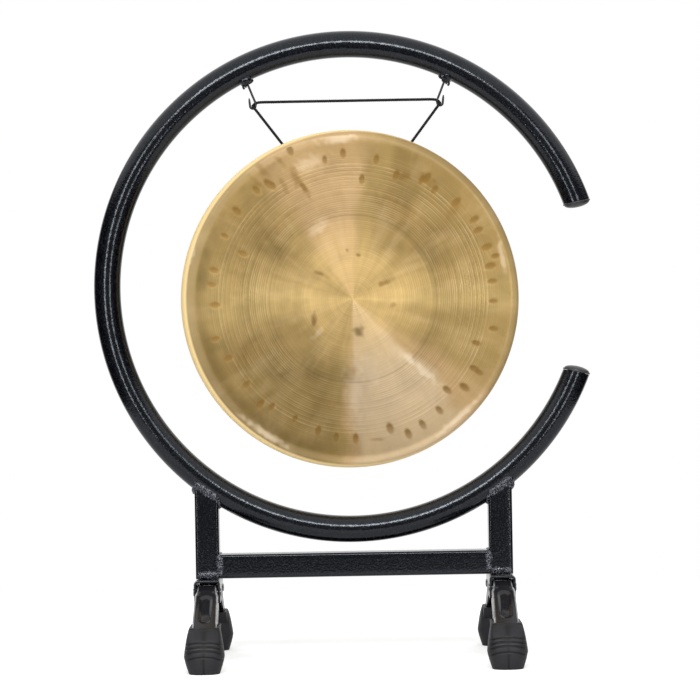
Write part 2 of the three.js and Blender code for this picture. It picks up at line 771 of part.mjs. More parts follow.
// Half of the cord's centre line, in the ring's frame
function cordHalf() {
  const at = (x, y, z) => new THREE.Vector3(x, y, z);
  const fromKnot = cordFromKnot.map(([share, drop]) => at(share * gongHoleOffset, 0, gongHingeRise - drop));
  const atHole = cordAtHole.map(([x, z]) => at(gongHoleOffset + x, 0, gongHingeRise + z));
  const atHook = cordAtHook.map(([x, y, z]) => at(crookOffset + x, y, crookRise + z));
  const rise = cordRiseShares.map((share) => atHole.at(-1).clone().lerp(atHook[0], share));
  const overTop = cordOverTop.map(([share, y]) => at(share * crookOffset, y, crookRise + cordTopRise));
  return [...fromKnot, ...atHole, ...rise, ...atHook, ...overTop];
}

function cord() {
  const half = cordHalf();
  const otherHalf = half.map(({ x, y, z }) => new THREE.Vector3(-x, y, z)).reverse();
  const loop = solidOf(wire([...half, ...otherHalf], cordRadius, cordSides));
  const knotRise = half[0].z;
  const end = (side) => new THREE.Vector3((side * knotLength) / 2, 0, knotRise);
  return geometryOf(joined(loop, rod(end(-1), end(1), knotRadius, knotSides)));
}

// Gong, with the line through its two holes on the X axis and its face towards -Y

// Half of the gong's skin, from the middle of the face to the end of the flange. Inset is 0 outside.
function gongSkin(inset) {
  const shoulderEnd = -gongFlangeLean;
  const shoulder = arcPoints(
    gongRadius - gongShoulderRadius,
    gongShoulderRadius,
    gongShoulderRadius - inset,
    -Math.PI / 2,
    shoulderEnd,
    gongShoulderSteps,
  );
  const flangeTop = gongRadius - (gongDepth - gongShoulderRadius) * Math.tan(gongFlangeLean);
  return [
    new THREE.Vector2(0, inset - gongDome),
    new THREE.Vector2(gongDomeRadius, inset - gongDome * (1 - gongDomeShare)),
    ...shoulder,
    new THREE.Vector2(flangeTop - inset, gongDepth),
  ];
}

function gong() {
  const profile = [...gongSkin(0), ...gongSkin(gongThickness).reverse()];
  const shell = solidOf(new THREE.LatheGeometry(profile, gongSides));
  const drill = (side) => {
    const direction = new THREE.Vector3(side * Math.sin(gongHoleAngle), 0, Math.cos(gongHoleAngle));
    const from = direction.clone().multiplyScalar(gongRadius - gongDepth);
    const to = direction.clone().multiplyScalar(gongRadius + overrun);
    from.y = gongHoleDepth;
    to.y = gongHoleDepth;
    return rod(from, to, gongHoleRadius, gongHoleSides);
  };
  const drilled = geometryOf(cut(shell, drill(-1), drill(1)));
  return drilled.translate(0, -gongHoleDepth, -gongHoleRise);
}

// Assembly

const stand = new THREE.Group();

function addPart(parent, name, geometry, material) {
  const mesh = new THREE.Mesh(geometry, material);
  mesh.name = name;
  parent.add(mesh);
  return mesh;
}

function addGroup(parent, x, y, z) {
  const group = new THREE.Group();
  group.position.set(x, y, z);
  parent.add(group);
  return group;
}

const sides = [
  ["left", -1],
  ["right", 1],
];

const ringFrame = addGroup(stand, 0, 0, ringHeight);
addPart(ringFrame, "ring_tube", ringTube(), hammeredBlack());
for (const { name, place, turn } of ringEnds) {
  const plug = addPart(ringFrame, `ring_plug_${name}`, ringPlug(), plasticBlack());
  plug.position.copy(place);
  plug.quaternion.copy(turn);
}

for (const [name, outward] of sides) {
  const post = addPart(ringFrame, `upright_${name}`, upright(outward), hammeredBlack());
  post.position.x = outward * uprightOffset;
  addPart(ringFrame, `hanger_eye_${name}`, eye(outward), hammeredBlack());
  addPart(ringFrame, `hanger_hook_${name}`, hook(outward), darkSteel());
}
addPart(stand, "crossbar", crossbar(), hammeredBlack()).position.z = crossbarHeight;

for (const [sideName, outward] of sides) {
  const foot = addGroup(stand, outward * uprightOffset, 0, bracketTop);
  addPart(foot, `foot_bracket_${sideName}`, footBracket(), hammeredBlack());
  for (const [endName, backward] of [
    ["front", -1],
    ["rear", 1],
  ]) {
    const name = `${sideName}_${endName}`;
    const hinge = addGroup(foot, 0, backward * pinOffset, pinHeight - bracketTop);
    if (backward > 0) hinge.rotation.z = Math.PI;
    addPart(hinge, `leg_pin_${name}`, legPin(), zincSteel());
    addPart(hinge, `leg_${name}`, leg(), glossBlack());
    addPart(hinge, `boot_${name}`, boot(), rubberBlack());
  }
}

addPart(ringFrame, "gong_cord", cord(), blackCord());

// The gong hangs with its centre of mass under its holes
const gongGeometry = gong();
const gongCentre = centreOfMass(gongGeometry);
const gongPart = addPart(stand, "gong", gongGeometry, brass());
gongPart.position.z = ringHeight + gongHingeRise;
gongPart.rotation.x = Math.atan2(-gongCentre.y, -gongCentre.z);

// The C is open on the right, so the middle of its width lies beside the ring's centre
const width = new THREE.Box3().setFromObject(stand, true);
stand.position.x = -(width.min.x + width.max.x) / 2;

export default stand;
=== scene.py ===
import json
from math import atan2, copysign, cos, hypot, pi, radians, sin, sqrt, tan, tau

import bmesh
import bpy
from mathutils import Matrix, Vector, noise


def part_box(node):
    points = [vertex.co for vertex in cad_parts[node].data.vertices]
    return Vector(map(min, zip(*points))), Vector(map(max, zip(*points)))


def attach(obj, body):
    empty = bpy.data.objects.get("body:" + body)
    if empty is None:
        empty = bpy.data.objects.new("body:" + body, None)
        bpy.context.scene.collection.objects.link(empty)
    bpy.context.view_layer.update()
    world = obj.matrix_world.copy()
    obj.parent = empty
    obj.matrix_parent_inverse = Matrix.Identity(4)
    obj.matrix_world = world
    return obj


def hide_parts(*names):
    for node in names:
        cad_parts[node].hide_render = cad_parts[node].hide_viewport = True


# A gong on its floor stand. Metres, +Z up, with the face of the gong towards -Y.

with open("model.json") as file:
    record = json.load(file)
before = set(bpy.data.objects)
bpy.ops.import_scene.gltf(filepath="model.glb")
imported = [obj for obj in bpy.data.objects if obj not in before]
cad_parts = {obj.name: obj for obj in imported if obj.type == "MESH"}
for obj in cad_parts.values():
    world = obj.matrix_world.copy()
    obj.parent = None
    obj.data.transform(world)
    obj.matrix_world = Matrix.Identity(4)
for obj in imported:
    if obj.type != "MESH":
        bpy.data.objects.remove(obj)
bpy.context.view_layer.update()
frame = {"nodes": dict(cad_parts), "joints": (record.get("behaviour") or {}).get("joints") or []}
scene = bpy.context.scene

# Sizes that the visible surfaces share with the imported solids
RING_RADIUS = 0.255
RING_TUBE_RADIUS = 0.014
MOUTH_ANGLES = {"upper": radians(19.6), "lower": radians(21.6)}  # from the level
RING_END_SLANT = radians(8.5)
BAR_WIDTH = 0.025
BAR_CORNER = 0.0026
UPRIGHT_OFFSET = 0.154
BRACKET_TOP = 0.0875
BRACKET_LENGTH = 0.064
BRACKET_WIDTH = 0.0274
BRACKET_DEPTH = 0.023
BRACKET_WALL = 0.0023
BRACKET_CORNER = 0.004
PIN_RADIUS = 0.003
PIN_OFFSET = 0.025
FIT_GAP = 0.0003
LEG_WALL = 0.002
LEG_END_RADIUS = 0.010
LEG_WEB = 0.011
GONG_RADIUS = 0.178
GONG_DEPTH = 0.033
GONG_THICKNESS = 0.0014
GONG_HOLE_ANGLE = radians(22.5)
GONG_HOLE_DEPTH = 0.015
SHOULDER = 0.008
FLANGE_LEAN = radians(5)
HOLE_REACH = GONG_RADIUS - (GONG_HOLE_DEPTH - SHOULDER) * tan(FLANGE_LEAN)
HOLE_RISE = HOLE_REACH * cos(GONG_HOLE_ANGLE)

# Places, of which some are read from the frame
RING_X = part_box("ring_tube")[0].x + RING_RADIUS + RING_TUBE_RADIUS
RING_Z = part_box("ring_tube")[1].z - RING_RADIUS - RING_TUBE_RADIUS
PIN_Z = BRACKET_TOP - BRACKET_WALL - FIT_GAP - LEG_END_RADIUS
TOE = (0.1155, 0.017)  # away from the plane of the ring, and up from the floor
LEG_LEAN = atan2(TOE[0] - PIN_OFFSET, PIN_Z - TOE[1])
LEAN_SIN = sin(LEG_LEAN)
LEAN_COS = cos(LEG_LEAN)
HINGE_Z = next(joint for joint in frame["joints"] if joint["name"] == "gong_swing")["pos_m"][2]
SIDES = {"left": -1, "right": 1}
ENDS = {"front": -1, "rear": 1}

# Camera

CAMERA_PLACE = (0.0064, -2.7, 0.341)
CAMERA_PITCH = radians(-0.336)
CAMERA_ROLL = radians(-1.0)
CAMERA_LENS = 131.9


def make_camera():
    data = bpy.data.cameras.new("camera")
    data.lens = CAMERA_LENS
    data.sensor_width = 36.0
    camera = bpy.data.objects.new("camera", data)
    level = Matrix.Rotation(pi / 2 + CAMERA_PITCH, 4, "X")
    camera.matrix_world = Matrix.Translation(CAMERA_PLACE) @ level @ Matrix.Rotation(CAMERA_ROLL, 4, "Z")
    scene.collection.objects.link(camera)
    scene.camera = camera


make_camera()


# Shader nodes


def new_material(name):
    material = bpy.data.materials.new(name)
    material.use_nodes = True
    return material, material.node_tree, material.node_tree.nodes["Principled BSDF"]


def put(tree, socket, value):
    """A socket takes another node's output, or a plain value."""
    if isinstance(value, bpy.types.NodeSocket):
        tree.links.new(value, socket)
    else:
        socket.default_value = value


def add(tree, kind, inputs=None, **settings):
    made = tree.nodes.new("ShaderNode" + kind)
    for key, value in settings.items():
        setattr(made, key, value)
    for key, value in (inputs or {}).items():
        put(tree, made.inputs[key], value)
    return made


def maths(tree, operation, first, second=0.0):
    return add(tree, "Math", {0: first, 1: second}, operation=operation).outputs[0]


def times(tree, first, second):
    return maths(tree, "MULTIPLY", first, second)


def vectors(tree, operation, first, second=None):
    inputs = {0: first} if second is None else {0: first, 1: second}
    made = add(tree, "VectorMath", inputs, operation=operation)
    return made.outputs["Value" if operation == "LENGTH" else "Vector"]


def spread(tree, value, low, high, new_low=0.0, new_high=1.0, smooth=False):
    """A value between two limits becomes one between two others."""
    kind = "SMOOTHSTEP" if smooth else "LINEAR"
    inputs = {"Value": value, "From Min": low, "From Max": high, "To Min": new_low, "To Max": new_high}
    return add(tree, "MapRange", inputs, interpolation_type=kind).outputs["Result"]


def mixed(tree, share, first, second):
    made = add(tree, "Mix", data_type="RGBA")
    put(tree, made.inputs[0], share)
    put(tree, made.inputs[6], first)
    put(tree, made.inputs[7], second)
    return made.outputs[2]


def cloud(tree, where, scale, detail=3.0, roughness=0.5):
    inputs = {"Vector": where, "Scale": scale, "Detail": detail, "Roughness": roughness}
    return add(tree, "TexNoise", inputs).outputs["Fac"]


def cells(tree, where, scale, feature="F1"):
    return add(tree, "TexVoronoi", {"Vector": where, "Scale": scale}, feature=feature)


def bump(tree, height, depth, strength, before=None):
    inputs = {"Height": height, "Distance": depth, "Strength": strength}
    return add(tree, "Bump", inputs | ({"Normal": before} if before else {})).outputs["Normal"]


def grey(value, blue=1.0):
    return (value, value, value * blue, 1.0)


def object_place(tree):
    return add(tree, "TexCoord").outputs["Object"]


def marked(tree, name):
    """A value that a mesh carries at its points."""
    return add(tree, "Attribute", attribute_name=name).outputs["Fac"]


def dress(tree, shader, colour, roughness, normal, level=0.5):
    """Links what varies over every material, and sets how much it reflects."""
    put(tree, shader.inputs["Base Color"], colour)
    put(tree, shader.inputs["Roughness"], roughness)
    put(tree, shader.inputs["Normal"], normal)
    shader.inputs["Specular IOR Level"].default_value = level


# Materials


def hammered_paint():
    """Black hammer-texture paint: small glossy pebbles, and pale specks in its colour that are painted
    glints, that is painted highlights, most of them on weld beads.
    """
    material, tree, shader = new_material("hammered_paint")
    where = object_place(tree)
    pebbles = cells(tree, where, 560.0, "SMOOTH_F1").outputs["Distance"]
    pits = cloud(tree, where, 900.0, 2.0)
    speck = cells(tree, where, 1500.0).outputs["Color"]
    speck = add(tree, "SeparateColor", {0: speck}).outputs[0]
    painted_highlight = times(tree, marked(tree, "bead"), spread(tree, speck, 0.6, 1.0))
    tone = mixed(tree, cloud(tree, where, 130.0, 2.0), grey(0.0006, 1.7), grey(0.0018, 1.7))
    # Pale specks in the colour: painted glints, standing in for the highlights of the hammered bumps.
    tone = mixed(tree, spread(tree, speck, 0.84, 1.0), tone, grey(0.024, 1.4))
    # On weld beads the specks are paler still: painted highlights in the colour.
    tone = mixed(tree, painted_highlight, tone, grey(0.2, 1.2))
    relief = bump(tree, pits, 0.0003, 0.11, bump(tree, pebbles, 0.0006, 0.17))
    dress(tree, shader, tone, spread(tree, pits, 0.3, 0.7, 0.1, 0.2), relief, 0.42)
    shader.inputs["Specular Tint"].default_value = (0.84, 0.92, 1.0, 1.0)
    return material


def gloss_paint():
    """Smooth gloss black paint on pressed steel, with faint orange peel, and pale grey painted highlights in
    its colour along its edges.
    """
    material, tree, shader = new_material("gloss_paint")
    where = object_place(tree)
    smears = cloud(tree, where, 40.0, 4.0)
    patchy = spread(tree, cloud(tree, where, 150.0, 4.0), 0.3, 0.55, 0.35, 1.0)
    tone = mixed(tree, smears, grey(0.007, 1.25), grey(0.015, 1.2))
    # Pale grey, broken by noise, along the leg's rounded edges: a painted highlight.
    tone = mixed(tree, times(tree, marked(tree, "painted_edge_highlight"), patchy), tone, grey(0.42, 1.02))
    relief = bump(tree, cloud(tree, where, 260.0, 2.0), 0.0004, 0.06)
    dress(tree, shader, tone, spread(tree, smears, 0.3, 0.75, 0.08, 0.2), relief, 0.4)
    return material


def grained(name, shades, mottle, grain, roughness, relief, level=0.5, mark=None, metallic=0.0):
    """Two mottled shades, a grain that varies roughness and height, and a shade for a mark of the mesh."""
    material, tree, shader = new_material(name)
    where = object_place(tree)
    tone = mixed(tree, cloud(tree, where, *mottle), *shades)
    if mark:
        tone = mixed(tree, marked(tree, mark[0]), tone, mark[1])
    grains = cloud(tree, where, *grain)
    dress(tree, shader, tone, spread(tree, grains, 0.3, 0.7, *roughness), bump(tree, grains, *relief), level)
    shader.inputs["Metallic"].default_value = metallic
    return material


# Tints of the lathed face, and the wedges that they make round it, by shares of a turn from +X over the top.
# The wedges are bronze colours made lighter and darker round the face: a painted reflection of the lathed
# metal's radial sheen
BRONZE_AND_SHEEN = {
    "olive": (0.37, 0.25, 0.085),
    "tan": (0.50, 0.345, 0.125),
    "gold": (0.65, 0.465, 0.18),
    "rose": (0.74, 0.49, 0.24),
    "painted_highlight": (1.0, 0.76, 0.48),
}
SHEEN_WEDGES = [
    (0.0, "gold"), (0.04, "tan"), (0.08, "olive"), (0.2, "olive"), (0.222, "tan"), (0.248, "rose"),
    (0.33, "rose"), (0.365, "tan"), (0.4, "olive"), (0.44, "tan"), (0.49, "gold"), (0.51, "gold"),
    (0.55, "tan"), (0.58, "olive"), (0.7, "olive"), (0.73, "tan"), (0.741, "rose"), (0.753, "painted_highlight"),
    (0.86, "painted_highlight"), (0.885, "rose"), (0.92, "tan"), (0.965, "tan"), (1.0, "gold"),
]
LATHE_OFFSET = (0.0035, 0.0, 0.001)  # the lathe's centre, beside the middle of the gong
ZONE_RADIUS = 0.088
RING_PITCH = 0.0022


def gong_bronze():
    """Lathed sheet bronze: fine rings, tinted sectors of painted reflection, streaks of painted sheen, hammer
    marks with painted shade on their upper sides, stains, and pale streaks of painted sheen.
    """
    material, tree, shader = new_material("gong_bronze")
    where = object_place(tree)
    centred = vectors(tree, "SUBTRACT", where, LATHE_OFFSET)
    axes = add(tree, "SeparateXYZ", {0: centred})
    across, height = axes.outputs["X"], axes.outputs["Z"]
    flat = add(tree, "CombineXYZ", {"X": across, "Y": height}).outputs[0]
    radius = vectors(tree, "LENGTH", flat)
    angle = maths(tree, "ARCTAN2", height, across)
    drift = spread(tree, cloud(tree, where, 16.0, 3.0), 0.3, 0.7, -0.012, 0.012)
    turn = maths(tree, "FRACT", maths(tree, "ADD", maths(tree, "DIVIDE", angle, tau), drift))

    sheen_wedges = add(tree, "ValToRGB", {"Fac": turn})
    ramp = sheen_wedges.color_ramp
    ramp.interpolation = "EASE"
    for share, tint in SHEEN_WEDGES[1:-1]:
        ramp.elements.new(share).color = (*BRONZE_AND_SHEEN[tint], 1.0)
    for element, (share, tint) in ((ramp.elements[0], SHEEN_WEDGES[0]), (ramp.elements[-1], SHEEN_WEDGES[-1])):
        element.position = share
        element.color = (*BRONZE_AND_SHEEN[tint], 1.0)

    # Soft lighter and darker streaks that run out from the middle: painted sheen
    wide = vectors(tree, "MULTIPLY", vectors(tree, "NORMALIZE", flat), (4.0, 4.0, 0.0))
    spokes = add(tree, "SeparateXYZ", {0: wide}).outputs
    fanned = {"X": spokes["X"], "Y": spokes["Y"], "Z": times(tree, radius, 12.0)}
    sheen_streaks = cloud(tree, add(tree, "CombineXYZ", fanned).outputs[0], 1.0, 4.0, 0.6)

    # Rings left by the lathe, strongest between the middle zone and the shoulder
    noisy = {"W": radius, "Scale": 300.0, "Detail": 3.0}
    loose = add(tree, "TexNoise", noisy, noise_dimensions="1D").outputs["Fac"]
    phase = times(tree, radius, tau / RING_PITCH)
    wave = maths(tree, "SINE", maths(tree, "ADD", phase, times(tree, loose, 9.0)))
    rings = maths(tree, "ADD", times(tree, wave, 0.26), times(tree, loose, 0.9))
    patchy = spread(tree, cloud(tree, where, 26.0, 2.0), 0.35, 0.65, 0.3, 1.0)
    outside = spread(tree, radius, ZONE_RADIUS - 0.004, ZONE_RADIUS + 0.004, 0.4, 1.0, True)
    inside = spread(tree, radius, 0.134, 0.16, 1.0, 0.15, True)
    reach = times(tree, times(tree, patchy, inside), outside)
    line = times(tree, maths(tree, "SUBTRACT", rings, 0.45), reach)
    zone_edge = maths(tree, "ABSOLUTE", maths(tree, "SUBTRACT", radius, ZONE_RADIUS))
    zone_line = spread(tree, zone_edge, 0.0003, 0.0016, 0.22, 0.0, True)

    # Darker at the lower left, inside the shoulder
    lower_left = spread(tree, radius, 0.15, 0.163, smooth=True)
    lower_left = times(tree, lower_left, spread(tree, across, 0.02, -0.1, 0.0, 0.25, True))
    lower_left = times(tree, lower_left, spread(tree, height, 0.1, 0.03, smooth=True))

    mottle = cloud(tree, where, 30.0, 5.0, 0.62)
    mark, stain_and_sheen = marked(tree, "hammer_mark_and_shade"), marked(tree, "stain_and_sheen")
    layers = [
        (spread(tree, mottle, 0.35, 0.7, 0.0, 0.25), (0.5, 0.34, 0.14)),
        (spread(tree, radius, 0.03, 0.092, 0.5, 0.0, True), (1.0, 0.69, 0.28)),
        (spread(tree, radius, 0.12, 0.168, 0.0, 0.3, True), (0.36, 0.24, 0.08)),
        # Darker and lighter along the streaks: painted sheen.
        (spread(tree, sheen_streaks, 0.5, 0.25, 0.0, 0.22), (0.3, 0.19, 0.07)),
        (spread(tree, sheen_streaks, 0.5, 0.75, 0.0, 0.25), (1.0, 0.74, 0.42)),
        (spread(tree, line, -0.3, 0.3, 0.3, 0.0), (0.22, 0.14, 0.06)),
        (spread(tree, line, 0.0, 0.35, 0.0, 0.21), (0.95, 0.76, 0.5)),
        (zone_line, (0.25, 0.17, 0.07)),
        (spread(tree, radius, 0.04, 0.1, 0.06, 0.22, True), (0.03, 0.015, 0.0)),
        (lower_left, (0.03, 0.015, 0.0)),
        # A thin pale gold line at the rim: a painted highlight on the shoulder.
        (spread(tree, radius, 0.1742, 0.177, 0.0, 0.95, True), (0.86, 0.65, 0.31)),
        (spread(tree, stain_and_sheen, 0.0, 1.0, 0.0, 0.8), (0.22, 0.12, 0.03)),
        # Pale where the value is below 0: streaks of painted sheen.
        (spread(tree, stain_and_sheen, 0.0, -1.0, 0.0, 0.5), (1.0, 0.84, 0.62)),
        # Hammer marks: brown patina, with painted shade on their upper sides.
        (times(tree, mark, 0.85), (0.2, 0.11, 0.025)),
    ]
    tone = sheen_wedges.outputs["Color"]
    for share, tint in layers:
        tone = mixed(tree, share, tone, (*tint, 1.0))

    turned = spread(tree, radius, 0.164, 0.1705, smooth=True)
    rough = maths(tree, "ADD", spread(tree, mottle, 0.3, 0.7, 0.3, 0.42), times(tree, turned, 0.2))
    rough = maths(tree, "ADD", rough, times(tree, mark, 0.2))
    dress(tree, shader, tone, rough, bump(tree, line, 0.0003, 0.25))
    put(tree, shader.inputs["Metallic"], spread(tree, turned, 0.0, 1.0, 0.94, 0.12))
    put(tree, shader.inputs["Tangent"], add(tree, "Tangent", direction_type="RADIAL", axis="Y").outputs[0])
    shader.inputs["Anisotropic"].default_value = 0.55
    return material


MATERIALS = {
    "hammered_paint": hammered_paint(),
    "gloss_paint": gloss_paint(),
    # Dull moulded rubber with a fine grain and paler worn patches; darker in its grooves and seam, which is
    # painted shade
    "boot_rubber": grained(
        "boot_rubber", (grey(0.009, 1.2), grey(0.019, 1.16)), (55.0, 4.0), (1600.0, 3.0), (0.42, 0.6),
        (0.00025, 0.3), 0.3, ("groove", grey(0.002, 1.1)),
    ),
    # Satin black moulded plastic with a faint spark-eroded grain
    "plug_plastic": grained(
        "plug_plastic", (grey(0.018), grey(0.032, 1.04)), (90.0, 3.0), (1100.0, 2.0), (0.34, 0.5),
        (0.0002, 0.25),
    ),
    # Plated steel rivets, a little scratched
    "pin_steel": grained(
        "pin_steel", (grey(0.2, 1.02), grey(0.36)), (180.0, 2.0), (700.0, 4.0), (0.28, 0.48), (0.0001, 0.3),
        metallic=1.0,
    ),
    # Wire with a thin black skin, worn along its length
    "hook_steel": grained(
        "hook_steel", (grey(0.003, 1.1), grey(0.014, 1.1)), (420.0, 4.0), (420.0, 4.0), (0.25, 0.45),
        (0.0001, 0.3), 0.4,
    ),
    # Black twisted cord of fine fibres
    "cord": grained(
        "cord", (grey(0.002, 1.1), grey(0.007, 1.1)), (300.0, 2.0), (3200.0, 3.0), (0.5, 0.75),
        (0.0002, 0.5), 0.25,
    ),
    "gong_bronze": gong_bronze(),
}


# Meshes


def make_mesh(vertices, faces, crease=32.0):
    """A closed mesh with its faces outwards and its sharp edges kept."""
    mesh = bpy.data.meshes.new("skin")
    mesh.from_pydata([tuple(v) for v in vertices], [], faces)
    shape = bmesh.new()
    shape.from_mesh(mesh)
    bmesh.ops.remove_doubles(shape, verts=shape.verts, dist=1e-7)
    bmesh.ops.recalc_face_normals(shape, faces=shape.faces)
    shape.to_mesh(mesh)
    shape.free()
    mesh.shade_smooth()
    mesh.set_sharp_from_angle(angle=radians(crease))
    return mesh


def place_piece(name, mesh, body, slot, nodes=(), matrix=None):
    """A piece that takes its material from a slot, rides on a body and stands for CAD nodes."""
    piece = bpy.data.objects.new(name, mesh)
    scene.collection.objects.link(piece)
    piece.data.materials.clear()
    piece.data.materials.append(MATERIALS[slot])
    if matrix is not None:
        piece.matrix_world = matrix
    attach(piece, body)
    if nodes:
        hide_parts(*nodes)


def mark_points(mesh, name, measure):
    """Writes a value at each point of a mesh for its material to read."""
    layer = mesh.attributes.new(name, "FLOAT", "POINT")
    for point, vertex in zip(layer.data, mesh.vertices):
        point.value = measure(vertex)


def make_piece(name, shape, body, slot, nodes=(), matrix=None, crease=32.0, mark=None):
    """A piece from vertices and faces, with a mark's name and its measure if its material reads one."""
    mesh = make_mesh(*shape, crease)
    if mark:
        mark_points(mesh, *mark)
    place_piece(name, mesh, body, slot, nodes, matrix)


def make_welds(name, beads):
    """The paint carries more painted glints, that is painted highlights, on weld beads, so each of their
    points is marked.
    """
    mark = "bead", lambda vertex: 1.0
    make_piece(name, join_skins(*beads), "frame", "hammered_paint", crease=80.0, mark=mark)


def skin(rows, closed=False, caps=True):
    """Faces between rows of equally many points. Each row is a loop, and a closed skin joins its ends."""
    count = len(rows[0])
    vertices = [point for row in rows for point in row]
    faces = []
    spans = len(rows) if closed else len(rows) - 1
    for row in range(spans):
        near, far = row * count, ((row + 1) % len(rows)) * count
        for side in range(count):
            after = (side + 1) % count
            faces.append((near + side, near + after, far + after, far + side))
    if caps and not closed:
        faces.append(tuple(reversed(range(count))))
        faces.append(tuple(range((len(rows) - 1) * count, len(rows) * count)))
    return vertices, faces


def join_skins(*skins):
    vertices, faces = [], []
    for more_vertices, more_faces in skins:
        start = len(vertices)
        vertices += more_vertices
        faces += [tuple(start + index for index in face) for face in more_faces]
    return vertices, faces


def polar(radius, angle):
    return radius * cos(angle), radius * sin(angle)


def circle(radius, sides):
    return [polar(radius, tau * k / sides) for k in range(sides)]


def frames_along(points, closed, up):
    """Two directions across the path at each point, turned no more than the path is."""
    count = len(points)
    normal = Vector(up)
    frames = []
    for index in range(count):
        before = points[index - 1] if closed or index else points[0]
        after = points[(index + 1) % count] if closed or index + 1 < count else points[-1]
        tangent = (after - before).normalized()
        normal = (normal - tangent * normal.dot(tangent)).normalized()
        frames.append((normal.copy(), tangent.cross(normal)))
    return frames


def sweep(points, outline, closed=False, up=(0, 1, 0)):
    """A skin along a path. The outline is a loop of two offsets, or a function of the point's number."""
    rows = []
    for index, (normal, other) in enumerate(frames_along(points, closed, up)):
        loop = outline(index) if callable(outline) else outline
        rows.append([points[index] + normal * first + other * second for first, second in loop])
    return skin(rows, closed)


def resampled(points, step, closed=False):
    """Points at equal steps along a chain of straight stretches."""
    chain = list(points) + ([points[0]] if closed else [])
    lengths = [(b - a).length for a, b in zip(chain, chain[1:])]
    total = sum(lengths)
    count = max(2, round(total / step))
    made, stretch, passed = [], 0, 0.0
    for index in range(count if closed else count + 1):
        wanted = min(total * index / count, total)
        while stretch + 1 < len(lengths) and passed + lengths[stretch] < wanted:
            passed += lengths[stretch]
            stretch += 1
        share = (wanted - passed) / lengths[stretch] if lengths[stretch] else 0.0
        made.append(chain[stretch].lerp(chain[stretch + 1], min(share, 1.0)))
    return made


def smooth_curve(points, steps, closed=False):
    """A curve through the points."""
    count = len(points)
    made = []
    for index in range(count if closed else count - 1):
        if closed:
            a, b, c, d = (points[(index + k) % count] for k in (-1, 0, 1, 2))
        else:
            a, b, c, d = (points[min(max(index + k, 0), count - 1)] for k in (-1, 0, 1, 2))
        for step in range(steps):
            t = step / steps
            bend, twist = 2 * a - 5 * b + 4 * c - d, 3 * b - a - 3 * c + d
            made.append(0.5 * (2 * b + (c - a) * t + bend * t**2 + twist * t**3))
    return made if closed else [*made, points[-1].copy()]


def arc(centre, radius, start, end, steps):
    """Points of an arc as pairs."""
    pairs = [polar(radius, start + (end - start) * k / steps) for k in range(steps + 1)]
    return [(centre[0] + x, centre[1] + y) for x, y in pairs]


def lathe(profile, sides, closed=False):
    """A skin round the Y axis from pairs of radius and depth."""
    rows = [[Vector((x, depth, z)) for x, z in circle(radius, sides)] for radius, depth in profile]
    return skin(rows, closed, caps=False)


def square_outline(corner_steps=6, flat_steps=5):
    """The rounded square of the steel bar, with points along its flats."""
    inset = BAR_WIDTH / 2 - BAR_CORNER
    loop = []
    for turn in range(4):
        start = turn * pi / 2
        centre = (inset * (1 if turn in (0, 3) else -1), inset * (1 if turn in (0, 1) else -1))
        loop += arc(centre, BAR_CORNER, start, start + pi / 2, corner_steps)
        ahead = Vector((-sin(start + pi / 2), cos(start + pi / 2)))
        last = Vector(loop[-1])
        loop += [tuple(last + ahead * (2 * inset * k / flat_steps)) for k in range(1, flat_steps)]
    return loop


# Weld beads: rippled ropes of metal that have run unevenly

WELD_STEP = 0.0006
WELD_RIPPLE = 0.0024
WELD_SIDES = 20
SWELL_SCALE = 160.0
WELD_GRAINS = ((300.0, 0.2), (760.0, 0.14))  # noise scales, and shares of the bead's radius
# Between the three values of noise that shake a point
NOISE_SHIFTS = [Vector(shift) for shift in ((0.0, 0.0, 0.0), (17.3, 5.1, 9.7), (4.9, 21.3, 13.1))]


def shaken(place):
    """A smooth random offset, the same in each run."""
    return Vector([noise.noise(place + shift) for shift in NOISE_SHIFTS])


def weld(path, radius, closed=False, flat=1.0):
    """A bead along a path. A flat bead is wider across the face that it lies on than it is proud of it."""
    points = resampled(path, WELD_STEP, closed)

    def outline(index):
        along = index * WELD_STEP
        swell = noise.noise(points[index] * SWELL_SCALE)
        ripple = abs(sin(pi * along / WELD_RIPPLE + 2.0 * swell))
        fade = 1.0 if closed else min(1.0, 0.35 + 0.12 * index, 0.35 + 0.12 * (len(points) - 1 - index))
        reach = radius * fade * (0.84 + 0.2 * ripple + 0.26 * swell)
        return [(first, second * flat) for first, second in circle(reach, WELD_SIDES)]

    vertices, faces = sweep(points, outline, closed)
    rough = []
    for v in vertices:
        coarse, fine = (shaken(v * scale) * (radius * share) for scale, share in WELD_GRAINS)
        rough.append(v + coarse + fine)
    return rough, faces


# Ring

RING_STEPS = 420
RING_FACES = 44
PAINT_INSET = 0.00004  # keeps the fine surface within the faceted solid's box


def ring_point(angle, radius=RING_RADIUS):
    return Vector((RING_X + radius * cos(angle), 0.0, RING_Z + radius * sin(angle)))


def end_of_ring(name):
    """Middle of a cut end of the tube, and the direction that it faces."""
    way = 1 if name == "upper" else -1
    angle = MOUTH_ANGLES[name]
    facing = angle - RING_END_SLANT
    return ring_point(way * angle), Vector((sin(facing), 0.0, -way * cos(facing)))


def make_ring():
    start, end = MOUTH_ANGLES["upper"], tau - MOUTH_ANGLES["lower"]
    points = [ring_point(start + (end - start) * k / RING_STEPS) for k in range(RING_STEPS + 1)]
    vertices, faces = sweep(points, circle(RING_TUBE_RADIUS - PAINT_INSET, RING_FACES))
    for name, first in (("upper", 0), ("lower", RING_STEPS * RING_FACES)):
        middle, facing = end_of_ring(name)
        along = (points[1] - points[0]) if name == "upper" else (points[-1] - points[-2])
        for index in range(first, first + RING_FACES):
            vertices[index] -= along * ((vertices[index] - middle).dot(facing) / along.dot(facing))
    make_piece("ring_tube_painted", (vertices, faces), "frame", "hammered_paint", ["ring_tube"])


PLUG_FLANGE = (0.0145, 0.0003, 0.0019)  # radius, underside and top, from the tube's end
PLUG_EDGE = 0.0006
PLUG_DOME = 0.0044
PLUG_DOME_STEPS = 14
PLUG_SIDES = 48
PLUG_SPIGOT = (0.0096, 0.009)  # radius and length


